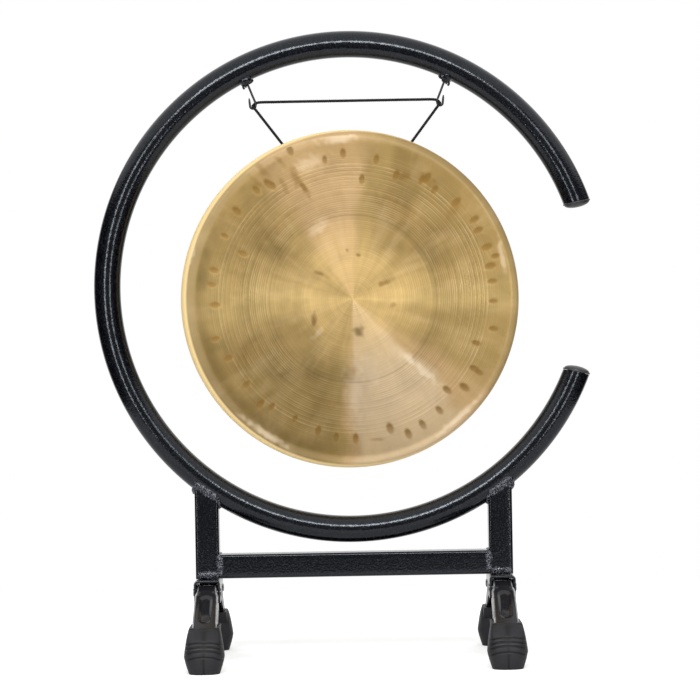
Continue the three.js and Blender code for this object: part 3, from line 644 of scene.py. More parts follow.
def make_plug(end):
    radius, low, high = PLUG_FLANGE
    spigot_radius, spigot_length = PLUG_SPIGOT
    crown_radius = radius - 2 * PLUG_EDGE
    angles = [pi / 2 * k / PLUG_DOME_STEPS for k in range(PLUG_DOME_STEPS)]
    crown = [(crown_radius * cos(angle), high + PLUG_DOME * sin(angle)) for angle in angles]
    profile = [
        (0.0, -spigot_length),
        (spigot_radius - PLUG_EDGE, -spigot_length),
        (spigot_radius, PLUG_EDGE - spigot_length),
        (spigot_radius, low),
        (radius - PLUG_EDGE, low),
        *arc((radius - PLUG_EDGE, low + PLUG_EDGE), PLUG_EDGE, -pi / 2, 0, 4)[1:],
        *arc((radius - PLUG_EDGE, high - PLUG_EDGE), PLUG_EDGE, 0, pi / 2, 4),
        (crown_radius + PLUG_EDGE / 2, high),
        *crown,
        (0.0, high + PLUG_DOME),
    ]
    centre, out = end_of_ring(end)
    turn = Vector((0, 1, 0)).rotation_difference(out).to_matrix()
    vertices, faces = lathe(profile, PLUG_SIDES)
    shape = [centre + turn @ v for v in vertices], faces
    make_piece(f"ring_plug_{end}_moulded", shape, "frame", "plug_plastic", [f"ring_plug_{end}"])


# Uprights and crossbar


def ring_underside(x, y):
    """Height of the ring tube's outer side below a point of the plan, x from the ring's middle."""
    reach = RING_RADIUS + sqrt(max(0.0, RING_TUBE_RADIUS**2 - y**2))
    return RING_Z - sqrt(reach**2 - x**2)


TUCKED = 0.0012  # how far an upright's end is hidden in the ring tube's wall
TOP_WELD = 0.0024
OUTER_LUMP = 0.0036
FRONT_SHARES = (-0.95, -0.5, 0.0, 0.5, 0.95)  # of half the bar's width, like the next two
OUTER_SHARES = (-0.9, -0.3, 0.3, 0.9)
FOOT_SHARES = (-0.9, 0.0, 0.9)
FRONT_LIFT = -0.0012  # of the beads' middles over the seam, like the next two
OUTER_LIFT = -0.0005
RUN_LIFTS = (-0.001, -0.005, -0.009)
FOOT_WELD = 0.0021
BAR_WELD = 0.0024
BAND_FLAT = 1.9  # of the beads that lie on a face
UPRIGHT_ROWS = 30


def make_upright(side, outward):
    centre_x = RING_X + outward * UPRIGHT_OFFSET
    foot = BRACKET_TOP + FIT_GAP
    loop = square_outline()
    tops = [ring_underside(outward * UPRIGHT_OFFSET + x, y) + TUCKED for x, y in loop]
    rows = [
        [Vector((centre_x + x, y, foot + (top - foot) * k / UPRIGHT_ROWS)) for (x, y), top in zip(loop, tops)]
        for k in range(UPRIGHT_ROWS + 1)
    ]
    make_piece(f"upright_{side}_painted", skin(rows), "frame", "hammered_paint", [f"upright_{side}"])

    half = BAR_WIDTH / 2

    def at_ring(x, y, lift):
        return Vector((centre_x + x, y, ring_underside(outward * UPRIGHT_OFFSET + x, y) + lift))

    seam = [at_ring(x, y, -TOP_WELD * 0.2) for x, y in loop]
    outer_x = outward * (half - OUTER_LUMP * 0.25)
    outer = [at_ring(outer_x, half * share, OUTER_LIFT - abs(half * share) * 0.2) for share in OUTER_SHARES]
    run = [at_ring(outer_x * 0.98, -half * 0.85, lift) for lift in RUN_LIFTS]
    front = [at_ring(share * half, -half, FRONT_LIFT) for share in FRONT_SHARES]
    foot_z = foot + FOOT_WELD * BAND_FLAT * 0.95
    foot_front = [Vector((centre_x + share * half, -half, foot_z)) for share in FOOT_SHARES]
    foot_outer = [Vector((centre_x + outward * half, share * half, foot_z)) for share in FOOT_SHARES]
    beads = [weld(seam, TOP_WELD, closed=True), weld(outer, OUTER_LUMP), weld(run, OUTER_LUMP * 0.6)]
    for bead, radius in ((front, TOP_WELD), (foot_front, FOOT_WELD)):
        for way in (1, -1):
            beads.append(weld([Vector((p.x, way * p.y, p.z)) for p in bead], radius, flat=BAND_FLAT))
    make_welds(f"upright_{side}_welds", [*beads, weld(foot_outer, FOOT_WELD * 0.8)])


CROSSBAR_ROWS = 40


def make_crossbar():
    seam = UPRIGHT_OFFSET - BAR_WIDTH / 2
    height = BRACKET_TOP + FIT_GAP + BAR_WIDTH / 2
    loop = square_outline()
    reach = seam - FIT_GAP
    rows = [
        [Vector((RING_X - reach + 2 * reach * k / CROSSBAR_ROWS, y, height + z)) for y, z in loop]
        for k in range(CROSSBAR_ROWS + 1)
    ]
    make_piece("crossbar_painted", skin(rows), "frame", "hammered_paint", ["crossbar"])
    half = BAR_WIDTH / 2
    beads = []
    for outward in SIDES.values():
        x = RING_X + outward * (seam - BAR_WELD * 0.15)
        for face in (-1, 1):
            low = Vector((x, face * half, height - half + BAR_WELD))
            high = Vector((x, face * half, height + half + BAR_WELD * 0.2))
            beads.append(weld([low, high], BAR_WELD, flat=1.5))
        top = [Vector((x, y, height + half - BAR_WELD * 0.4)) for y in (-half, half)]
        beads.append(weld(top, BAR_WELD * 0.8))
    make_welds("crossbar_welds", beads)


# Brackets, pins and legs

BRACKET_EDGE = 0.0005
BRACKET_ROWS = 16


def bracket_loop(grow):
    """The upside-down U, with its skin drawn in by an amount."""
    half, wall = BRACKET_WIDTH / 2 - grow, BRACKET_WALL - 2 * grow
    corner = BRACKET_CORNER - grow
    top, low = -grow, -BRACKET_DEPTH + grow
    inner_corner = BRACKET_CORNER - BRACKET_WALL + grow
    inset = BRACKET_WIDTH / 2 - BRACKET_CORNER
    right = arc((inset, top - corner), corner, 0, pi / 2, 6)
    left = arc((-inset, top - corner), corner, pi / 2, pi, 6)
    inner_top = top - corner
    inner_left = arc((-inset, inner_top), inner_corner, pi, pi / 2, 4)
    inner_right = arc((inset, inner_top), inner_corner, pi / 2, 0, 4)
    outside = [(half, low), *right, *left, (-half, low)]
    return [*outside, (wall - half, low), *inner_left, *inner_right, (half - wall, low)]


def make_bracket(side, outward):
    centre_x = RING_X + outward * UPRIGHT_OFFSET
    half = BRACKET_LENGTH / 2
    start, span = -half + BRACKET_EDGE, 2 * half - 2 * BRACKET_EDGE
    stations = [(-half, BRACKET_EDGE), (-half + BRACKET_EDGE * 0.3, BRACKET_EDGE * 0.3), (start, 0.0)]
    inner = [(start + span * k / BRACKET_ROWS, 0.0) for k in range(1, BRACKET_ROWS)]
    stations += inner + [(-y, grow) for y, grow in reversed(stations)]
    rows = []
    for y, grow in stations:
        rows.append([Vector((centre_x + x, y, BRACKET_TOP + z)) for x, z in bracket_loop(grow)])
    name = f"foot_bracket_{side}"
    make_piece(f"{name}_painted", skin(rows), "frame", "hammered_paint", [name])


PIN_HEAD = (0.0043, 0.00095)  # radius and height of the rivet's head
PIN_HEAD_RIM = 0.0003
PIN_HEAD_STEPS = 8
PIN_MIDDLE = 0.001  # where the profile of one half begins
PIN_SIDES = 32


def make_pin(side, end):
    reach = BRACKET_WIDTH / 2 + FIT_GAP
    head_radius, head_height = PIN_HEAD
    dome = [
        (head_radius * cos(a), reach + PIN_HEAD_RIM + (head_height - PIN_HEAD_RIM) * sin(a))
        for a in [pi / 2 * k / PIN_HEAD_STEPS for k in range(PIN_HEAD_STEPS)]
    ]
    shaft = [(PIN_RADIUS, PIN_MIDDLE), (PIN_RADIUS, reach)]
    half = [*shaft, (head_radius, reach), *dome, (0.0, reach + head_height)]
    profile = [(r, -depth) for r, depth in reversed(half)] + half
    turn = Matrix.Rotation(-pi / 2, 3, "Z")
    centre = Vector((RING_X + SIDES[side] * UPRIGHT_OFFSET, ENDS[end] * PIN_OFFSET, PIN_Z))
    vertices, faces = lathe(profile, PIN_SIDES)
    name = f"leg_pin_{side}_{end}"
    make_piece(f"{name}_rivet", ([centre + turn @ v for v in vertices], faces), "frame", "pin_steel", [name])


# A leg's own frame has its pin on the X axis, and the open leg leans towards -Y. A place on it is given
# across it, along it from the pin, and outward from the pin.

LEG_ROWS = 110
BOOT_SKIN = 0.0027
MOUTH_HEIGHT = 0.0455
MOUTH_ALONG = (PIN_Z + (LEG_WEB + BOOT_SKIN) * LEAN_SIN - MOUTH_HEIGHT) / LEAN_COS
LEG_LENGTH = MOUTH_ALONG + 0.010
LEG_EAR_DEPTH = 0.007
LEG_EAR_LENGTH = 0.024
LEG_SIDE_DEPTH = 0.0034
LEG_WIDTHS = [(0.009, 0.0206), (0.021, 0.0244), (LEG_LENGTH, 0.0258)]
LEG_EDGE = 0.003
RECESS = (0.0262, 0.0578, 0.0062, 0.0017)  # near and far centres, radius and depth
RECESS_SLOPE = 0.0024
RECESS_FADE = 0.65  # share of its depth that is lost towards the foot
TOP_EASE = (0.003, -0.004, 0.021)  # depth, and its stretch along the leg
PIP_PLACE = (0.0076, 0.0125)  # across and along
PIP_SIZE = (0.0021, 0.0012)  # radius and height


def on_leg(across, along, outward):
    return Vector((across, -along * LEAN_SIN - outward * LEAN_COS, outward * LEAN_SIN - along * LEAN_COS))


def smooth_share(value, low, high):
    share = min(max((value - low) / (high - low), 0.0), 1.0)
    return share * share * (3 - 2 * share)


def leg_width(along):
    if along <= LEG_WIDTHS[0][0]:
        return LEG_WIDTHS[0][1]
    for (start, first), (end, second) in zip(LEG_WIDTHS, LEG_WIDTHS[1:]):
        if along <= end:
            return first + (second - first) * (along - start) / (end - start)
    return LEG_WIDTHS[-1][1]


def leg_relief(across, along):
    """Height of the pressed face: the eased upper end, the long recess and the two pips."""
    near, far, radius, depth = RECESS
    place = min(max(along, near), far)
    edge = hypot(across, along - place) - radius
    depth *= 1 - RECESS_FADE * smooth_share(along, near, far)
    relief = -depth * (1 - smooth_share(edge, -RECESS_SLOPE, RECESS_SLOPE * 0.5))
    ease, start, end = TOP_EASE
    relief -= ease * (1 - smooth_share(along, start, end))
    pip_across, pip_along = PIP_PLACE
    pip_radius, pip_height = PIP_SIZE
    away = hypot(abs(across) - pip_across, along - pip_along) / pip_radius
    if away < 1.0:
        relief += pip_height * sqrt(1 - away * away)
    return relief


def leg_start(outward):
    """Where the leg begins at a height over the pin: its round end, or the flat that bears on the bracket."""
    flat = (outward * LEAN_SIN - LEG_END_RADIUS) / LEAN_COS
    if abs(outward) >= LEG_END_RADIUS:
        return flat
    return max(flat, -sqrt(LEG_END_RADIUS**2 - outward**2))


def side_depth(along):
    share = max(0.0, (along - LEG_EAR_LENGTH) / (LEG_LENGTH - LEG_EAR_LENGTH))
    return LEG_EAR_DEPTH + (LEG_SIDE_DEPTH - LEG_EAR_DEPTH) * min(share, 1.0)


def edge_highlight_share(vertex):
    """How much painted highlight a point of the leg carries: most on its two long rounded edges."""
    place = vertex.co
    along = -(place.y * LEAN_SIN + place.z * LEAN_COS)
    outward = place.z * LEAN_SIN - place.y * LEAN_COS
    inset = leg_width(along) / 2 - abs(place.x)
    on_edge = 1 - smooth_share(abs(inset - LEG_EDGE * 0.25), LEG_EDGE * 0.1, LEG_EDGE * 0.4)
    return on_edge * smooth_share(outward, LEG_WEB - LEG_EDGE * 1.3, LEG_WEB - LEG_EDGE * 0.9)


def make_leg(side, end, matrix):
    sides, edges, web = 8, 7, 44

    def cross_section(along, inward):
        """The outer skin, or the inner one, as pairs of across and outward, before the relief."""
        half = leg_width(along) / 2 - inward
        radius = LEG_EDGE - inward
        top = LEG_WEB - inward
        low = -side_depth(along)
        left = [(-half, low + (top - radius - low) * k / sides) for k in range(sides)]
        left_edge = arc((-half + radius, top - radius), radius, pi, pi / 2, edges)
        flat = [(-half + radius + 2 * (half - radius) * k / web, top) for k in range(1, web)]
        right_edge = arc((half - radius, top - radius), radius, pi / 2, 0, edges)
        right = [(half, p[1]) for p in reversed(left)]
        return left + left_edge + flat + right_edge + right

    rows = []
    for row in range(LEG_ROWS + 1):
        share = row / LEG_ROWS
        loops = []
        for inward in (0.0, LEG_WALL):
            loop = []
            for across, outward in cross_section(LEG_LENGTH * share, inward):
                start = leg_start(outward)
                along = start + (LEG_LENGTH - start) * share
                if outward > LEG_WEB - LEG_EDGE:
                    relief = leg_relief(across, along)
                    outward += relief if relief < 0 or inward == 0.0 else 0.0
                loop.append(on_leg(across, along, outward))
            loops.append(loop)
        rows.append(loops[0] + list(reversed(loops[1])))
    name = f"leg_{side}_{end}"
    mark = "painted_edge_highlight", edge_highlight_share
    make_piece(f"{name}_pressed", skin(rows), name, "gloss_paint", [name], matrix, 40.0, mark)


# Boots, in the leg's frame: a sleeve along the leg, cut off level at the mouth, on a round body whose
# cross-sections go down from the mouth to the sole

BOOT_SIDES = 112
BOOT_UPPER_ROWS = 76
BOOT_LOWER_ROWS = 36
MOUTH_WIDTH = 0.031
BOOT_WIDTH = 0.0416
SOLE_WIDTH = 0.0318
MOUTH_LENGTH = 0.022
SLEEVE_DEPTH = 0.009
SLEEVE_EDGE = 0.003
SLEEVE_LIP = ((0.0024, 0.003), (0.0022, 0.0), (0.0006, 0.0), (0.0, 0.0006))  # insets and depths of the mouth
SLEEVE_OVERLAP = 0.0007  # of the sleeve's end and the body
HEEL = (0.0775, 0.019)
SOLE_TOE = 0.1125
SOLE_HEEL = 0.086
MOUTH_ROUNDNESS = 5.0
BOOT_ROUNDNESS = 2.7
SOLE_ROUNDNESS = 2.4
BOOT_SWELL = 0.75
BOOT_TAPER = 1.3
BOOT_SET_IN = 0.0001
RIB_HEIGHTS = (0.0136, 0.0199, 0.0242, 0.0285)  # of the grooves at the sides of the toe, from the floor
RIB_ARCH = 0.0042
RIB_DEPTH = 0.0009
RIB_HALF_WIDTH = 0.0013
SEAM_DEPTH = 0.0008
GROOVE_PROBE = 0.001  # how far apart the two outlines are that a groove lies between
GROOVE_END = 0.002  # below the mouth, where the painted shade in the grooves stops
MOUTH_INSET = 0.0009
SOLE_INSETS = (0.0008, 0.0030, 0.0038)
SOLE_HOLLOW = 0.0008


def bezier(a, b, c, t):
    return a * (1 - t) ** 2 + b * 2 * t * (1 - t) + c * t**2


def boot_rows():
    """Front point, rear point, width and roundness of each cross-section."""

    def floor(place, height):
        return Vector((PIN_OFFSET - place, height - PIN_Z))

    front = on_leg(0, MOUTH_ALONG, LEG_WEB + BOOT_SKIN)
    mouth_front = Vector((front.y, front.z))
    mouth_rear = Vector((front.y + MOUTH_LENGTH, front.z))
    toe, heel = floor(*TOE), floor(*HEEL)
    toe_corner = Vector((toe.x, mouth_front.y + (toe.x - mouth_front.x) * LEAN_COS / LEAN_SIN))
    heel_corner = Vector((mouth_rear.x, (mouth_rear.y + heel.y) / 2))
    sole_front, sole_rear = floor(SOLE_TOE, 0.0), floor(SOLE_HEEL, 0.0)
    toe_foot = Vector((toe.x, (toe.y + sole_front.y) / 2))
    heel_foot = Vector((heel.x, (heel.y + sole_rear.y) / 2))
    # Rows to make and their steps, front and rear curves, and widths and roundness at the two ends
    stretches = [
        (
            BOOT_UPPER_ROWS, BOOT_UPPER_ROWS, (mouth_front, toe_corner, toe), (mouth_rear, heel_corner, heel),
            (MOUTH_WIDTH, BOOT_WIDTH, BOOT_SWELL), (MOUTH_ROUNDNESS, BOOT_ROUNDNESS),
        ),
        (
            BOOT_LOWER_ROWS + 1, BOOT_LOWER_ROWS, (toe, toe_foot, sole_front), (heel, heel_foot, sole_rear),
            (BOOT_WIDTH, SOLE_WIDTH, BOOT_TAPER), (BOOT_ROUNDNESS, SOLE_ROUNDNESS),
        ),
    ]
    rows = []
    for count, steps, front_curve, rear_curve, (first, last, power), (round_first, round_last) in stretches:
        for step in range(count):
            t = step / steps
            width = first + (last - first) * t**power
            roundness = round_first + (round_last - round_first) * t
            rows.append((bezier(*front_curve, t), bezier(*rear_curve, t), width, roundness))
    return rows


def boot_outline(row, inset=0.0):
    fore, aft, width, roundness = row
    middle, half = (fore + aft) / 2, (fore - aft) / 2
    reach = half.length
    loop = []
    for k in range(BOOT_SIDES):
        angle = tau * (k + 1) / BOOT_SIDES
        across, ahead = cos(angle), sin(angle)
        across = copysign(abs(across) ** (2 / roundness), across)
        ahead = copysign(abs(ahead) ** (2 / roundness), ahead)
        place = middle + half * (ahead * (1 - inset / reach))
        loop.append(Vector((across * (width / 2 - inset), place.x, place.y)))
    return loop


def boot_groove(place, across, ahead):
    """Depth of the arched grooves over the toe and of the mould's seam down its middle."""
    height = place.z + PIN_Z
    depth = 0.0
    for rib in RIB_HEIGHTS:
        off = abs(height - rib - RIB_ARCH * (1 - across * across)) / RIB_HALF_WIDTH
        depth = max(depth, RIB_DEPTH * (1 - smooth_share(off, 0.1, 1.0)))
    depth *= smooth_share(ahead, 0.05, 0.4)
    seam = SEAM_DEPTH * (1 - smooth_share(abs(across), 0.008, 0.035)) if ahead > 0 else 0.0
    return max(depth, seam)


def groove_painted_shade(vertex):
    """How deep a point of the finished boot lies in a groove, for the painted shade that its material puts
    there.
    """
    if vertex.co.z >= MOUTH_HEIGHT - PIN_Z - GROOVE_END:
        return 0.0
    across = max(-1.0, min(2 * vertex.co.x / BOOT_WIDTH, 1.0))
    depth = boot_groove(vertex.co, across, 1.0 if vertex.normal.y < -0.1 else 0.0)
    return min(1.0, depth / RIB_DEPTH)


def boot_sleeve():
    """The sleeve, with its mouth level and its front end inside the body."""
    mouth = MOUTH_HEIGHT - PIN_Z
    half, low = MOUTH_WIDTH / 2 - BOOT_SET_IN, BOOT_SET_IN - SLEEVE_DEPTH
    top = LEG_WEB + BOOT_SKIN - BOOT_SET_IN
    inset = half - SLEEVE_EDGE

    def outline(grow):
        edge = SLEEVE_EDGE - grow
        left = arc((-inset, top - SLEEVE_EDGE), edge, pi, pi / 2, 8)
        right = arc((inset, top - SLEEVE_EDGE), edge, pi / 2, 0, 8)
        bottom = [(half - grow, low + 1.2 * grow), (0.0, low + grow), (grow - half, low + 1.2 * grow)]
        return [*left, *right, *bottom]

    rows = []
    for grow, sink in SLEEVE_LIP:
        row = []
        for across, outward in outline(grow):
            start = (outward * LEAN_SIN - mouth) / LEAN_COS
            row.append(on_leg(across, start + sink, outward))
        rows.append(row)
    for share in (0.25, 0.5, 0.75, 1.0):
        row = []
        for across, outward in outline(0.0):
            start = (outward * LEAN_SIN - mouth) / LEAN_COS + SLEEVE_LIP[-1][1]
            row.append(on_leg(across, start + (MOUTH_ALONG + SLEEVE_OVERLAP - start) * share, outward))
        rows.append(row)
    return skin(rows)


def make_boot(side, end, matrix):
    table = boot_rows()
    rows = [boot_outline(table[0], MOUTH_INSET)]
    for row in table:
        plain, inner = (boot_outline(row, BOOT_SET_IN + more) for more in (0.0, GROOVE_PROBE))
        loop = []
        for k, (p, q) in enumerate(zip(plain, inner)):
            angle = tau * (k + 1) / BOOT_SIDES
            loop.append(p.lerp(q, boot_groove(p, cos(angle), sin(angle)) / GROOVE_PROBE))
        rows.append(loop)
    rows += [boot_outline(table[-1], inset) for inset in SOLE_INSETS]
    rows[0] = [p - Vector((0, 0, BOOT_SET_IN)) for p in rows[0]]
    rows[-1] = [p + Vector((0, 0, SOLE_HOLLOW)) for p in rows[-1]]
    name, leg = f"boot_{side}_{end}", f"leg_{side}_{end}"
    shape, mark = join_skins(skin(rows), boot_sleeve()), ("groove", groove_painted_shade)
    make_piece(f"{name}_moulded", shape, leg, "boot_rubber", [name], matrix, 48.0, mark)


# Eyes and hooks

EYE_OFFSET = 0.1055
EYE_ROD = 0.0013
EYE_RADIUS = 0.007
HOOK_WIRE = 0.001
HOOK_SKIN = 0.00115  # radius of the painted wire
HOOK_CLEARANCE = 0.00045
HOOK_BEND = EYE_ROD + HOOK_CLEARANCE + HOOK_WIRE
EYE_DISTANCE = RING_RADIUS - RING_TUBE_RADIUS - HOOK_BEND - HOOK_WIRE - FIT_GAP
EYE_RISE = sqrt(EYE_DISTANCE**2 - EYE_OFFSET**2)
EYE_WELD = (0.015, 0.007, 0.010)
EYE_TAIL = 0.004  # length of the straight ends in the welds
LUMP_GRAIN = (330.0, 0.42)  # noise scale, and share of the distance from the middle
ROD_SIDES = 16
HOOK_CURL = (radians(-65), radians(160))
CROOK_X, CROOK_Z = EYE_OFFSET - 0.007, RING_Z + EYE_RISE - 0.0204
CROOK_RADIUS = 0.0029
HOOK_WAIST_SHARE = 0.45
HOOK_WAIST_INSET = 0.0005
HOOK_TIP = (0.0008, 0.008)
HOOK_END_STEPS = 5  # that the rounded ends take


def rough_lump(centre, size, tilt, turns=20, rings=12):
    """A blob of weld metal."""
    turned = Matrix.Rotation(tilt, 3, "Y")
    scale, share = LUMP_GRAIN
    rows = []
    for ring in range(rings + 1):
        tip = pi * ring / rings
        row = []
        for turn in range(turns):
            x, y = polar(sin(tip), tau * turn / turns)
            unit = Vector((x, y, cos(tip)))
            from_middle = turned @ (Vector(size) * 0.5 * unit)
            place = Vector(centre) + from_middle
            row.append(place + from_middle * (share * noise.noise(place * scale)))
        rows.append(row)
    return skin(rows, caps=False)


def make_eye(side, outward):
    x = RING_X + outward * EYE_OFFSET
    middle = RING_Z + EYE_RISE + EYE_RADIUS
    round_part = arc((0.0, middle), EYE_RADIUS, pi, tau, 28)
    ends = [(way * EYE_RADIUS, middle + EYE_TAIL) for way in (-1, 1)]
    path = [Vector((x, y, z)) for y, z in (ends[0], *round_part, ends[1])]
    tilt = outward * atan2(EYE_OFFSET, EYE_RISE)
    lumps = [rough_lump((x, place, middle), EYE_WELD, tilt) for place in (-EYE_RADIUS, EYE_RADIUS)]
    shape = join_skins(sweep(path, circle(EYE_ROD, ROD_SIDES), up=(1, 0, 0)), *lumps)
    name = f"hanger_eye_{side}"
    make_piece(f"{name}_welded", shape, "frame", "hammered_paint", [name], crease=80.0)


def make_hook(side, outward):
    curl = arc((EYE_OFFSET, RING_Z + EYE_RISE), HOOK_BEND, *HOOK_CURL, 7)
    crook = arc((CROOK_X, CROOK_Z), CROOK_RADIUS, pi, tau, 6)
    waist = (
        curl[-1][0] + (crook[0][0] - curl[-1][0]) * HOOK_WAIST_SHARE - HOOK_WAIST_INSET,
        curl[-1][1] + (crook[0][1] - curl[-1][1]) * HOOK_WAIST_SHARE,
    )
    straight = (crook[0][0], crook[0][1] + CROOK_RADIUS)
    tip = (crook[-1][0] + HOOK_TIP[0], crook[-1][1] + HOOK_TIP[1])
    pairs = [*curl, waist, straight, *crook, tip]
    path = smooth_curve([Vector((RING_X + outward * x, 0.0, z)) for x, z in pairs], 10)
    last = len(path) - 1

    def outline(index):
        near_end = min(index, last - index) / HOOK_END_STEPS
        return circle(HOOK_SKIN * sqrt(min(1.0, 0.25 + 0.75 * near_end)), ROD_SIDES)

    name = f"hanger_hook_{side}"
    make_piece(f"{name}_wire", sweep(path, outline), "hanger", "hook_steel", [name])


# Cord: three twisted strands along a closed loop. Half of it runs from the knot behind the gong to the
# gong's hole, up to the hook, through its lower bend and back over the top.

# From the knot, as shares of the hole's offset from the middle, and drops below the hole
CORD_FROM_KNOT = [(0.045, 0.0114), (0.18, 0.0114), (0.355, 0.0114), (0.56, 0.0112), (0.74, 0.0104)]
# At the hole, as offsets outward and up from it
CORD_AT_HOLE = [(-0.0109, -0.009), (-0.0063, -0.0064), (-0.0031, -0.0034), (0.0001, 0.0006)]
CORD_RISE_SHARES = (0.15, 0.34, 0.535, 0.73, 0.89)  # of the way from the hole to the hook
# At the hook, as offsets outward, back and up from the middle of its lower bend
CORD_AT_HOOK = [
    (-0.0036, -0.0028, -0.0052),
    (-0.0018, -0.00285, -0.003),
    (-0.0006, -0.0025, -0.0015),
    (-0.0001, -0.0013, -0.0004),
    (0.0, 0.0, 0.0),
    (-0.0001, 0.0013, 0.0),
    (-0.0007, 0.0023, 0.0011),
    (-0.0026, 0.00285, 0.0028),
    (-0.0058, 0.0025, 0.0037),
    (-0.0116, 0.0015, 0.0039),
]
# Over the top, as shares of the hook's offset from the middle, and places behind the ring's plane
CORD_OVER_TOP = [(0.78, 0.0007), (0.66, 0.0002), (0.52, 0.0), (0.38, 0.0), (0.24, 0.0), (0.1, 0.0)]
CORD_TOP_RISE = 0.0038
CORD_STEP = 0.0005
CORD_PITCH = 0.0062
STRANDS = 3
STRAND_RADIUS = 0.00095
STRAND_SHIFT = 0.0006
STRAND_SIDES = 8
KNOT_RADIUS = 0.0019
KNOT_LENGTH = 0.0036
KNOT_STEPS = 120
# The tails, as offsets outward, back and up: from the knot's middle, and on from there
TAIL_START = (0.002, 0.001, -0.001)
TAIL_BEND = ((0.0, 0.0, 0.0), (0.003, 0.003, -0.004), (0.004, 0.004, -0.011))


def cord_half():
    """Half of the cord's centre line."""
    hole_x = HOLE_REACH * sin(GONG_HOLE_ANGLE)
    at_hole = [Vector((hole_x + x, 0.0, HINGE_Z + z)) for x, z in CORD_AT_HOLE]
    at_hook = [Vector((CROOK_X + x, y, CROOK_Z + z)) for x, y, z in CORD_AT_HOOK]
    from_knot = [Vector((share * hole_x, 0.0, HINGE_Z - drop)) for share, drop in CORD_FROM_KNOT]
    rise = [at_hole[-1].lerp(at_hook[0], share) for share in CORD_RISE_SHARES]
    over_top = [Vector((share * CROOK_X, y, CROOK_Z + CORD_TOP_RISE)) for share, y in CORD_OVER_TOP]
    shift = Vector((RING_X, 0.0, 0.0))
    return [shift + p for p in (*from_knot, *at_hole, *rise, *at_hook, *over_top)]


def strands(path, closed):
    """Twisted strands round a path."""
    count = len(path)
    length = sum((b - a).length for a, b in zip(path, path[1:]))
    turns = max(1, round(length / CORD_PITCH))
    frames = frames_along(path, closed, (0, 1, 0))
    skins = []
    for strand in range(STRANDS):
        line = []
        for index, (normal, other) in enumerate(frames):
            angle = tau * (turns * index / count + strand / STRANDS)
            line.append(path[index] + (normal * cos(angle) + other * sin(angle)) * STRAND_SHIFT)
        skins.append(sweep(line, circle(STRAND_RADIUS, STRAND_SIDES), closed))
    return join_skins(*skins)


def make_cord():
    half = cord_half()
    other = [Vector((2 * RING_X - p.x, p.y, p.z)) for p in reversed(half)]
    route = resampled(smooth_curve(half + other, 12, closed=True), CORD_STEP, closed=True)
    knot_centre = Vector((RING_X, 0.0, half[0].z))
    knot = []
    for step in range(KNOT_STEPS):
        t = tau * step / KNOT_STEPS
        y, z = polar(KNOT_RADIUS * 0.55 * (2 + cos(3 * t)), 2 * t)
        knot.append(knot_centre + Vector((KNOT_LENGTH * sin(3 * t), y, z)))
    tails = []
    for way in (-1, 1):
        start, *bend = (Vector((way * x, y, z)) for x, y, z in (TAIL_START, *TAIL_BEND))
        bend = [knot_centre + start + offset for offset in bend]
        tails.append(strands(resampled(smooth_curve(bend, 12), CORD_STEP), False))
    shape = join_skins(strands(route, True), strands(knot, True), *tails)
    make_piece("gong_cord_twisted", shape, "hanger", "cord", ["gong_cord"], crease=80.0)


# Gong. Its own frame has the middle of the rim's plane at the origin and the face towards -Y.

GONG_SIDES = 720
GONG_DOME = 0.004
DOME_POWER = 1.25  # of the dome's rise inside the middle zone
DOME_SHARE = 0.72
HOLE_RADIUS = 0.003
EDGE_ROUND = 0.0006
FACE_STEP = 0.0012
ROUND_STEPS = 12  # of the shoulder, and of the flange
SAG = 0.00022
SAG_SCALE = 22.0
DRILL_LENGTH = 0.02

# Places of the hammer marks, on a grid of MARK_STEP across and down from its own corner
HAMMER_MARKS = [
    (397, 873), (448, 893), (504, 897), (603, 870), (655, 886), (696, 860), (745, 820), (768, 762),
    (818, 755), (847, 703), (859, 713), (853, 629), (903, 589), (903, 510), (901, 453), (896, 409),
    (911, 381), (887, 355), (862, 307), (852, 277), (800, 227), (740, 190), (719, 156), (705, 160),
    (632, 147), (576, 101), (534, 157), (482, 82), (430, 99), (332, 72), (267, 165), (280, 170),
    (234, 182), (178, 241), (141, 310), (192, 362), (108, 407), (101, 449), (109, 507), (108, 604),
    (144, 659), (194, 735), (232, 793), (265, 802), (331, 837),
]
MARK_MIDDLE = (494, 499)
MARK_STEP = 0.000368
MARK_LENGTH = 0.0062  # half of the long axis, which points to the middle
MARK_WIDTH = 0.0036
MARK_DENT = 0.00012
MARK_BAND = (0.1, 0.172)  # radii between which the face is hammered
STAIN_AND_SHEEN_EDGE = (170.0, 0.6)  # scale and strength of the ragged edges of the stains and of the painted sheen
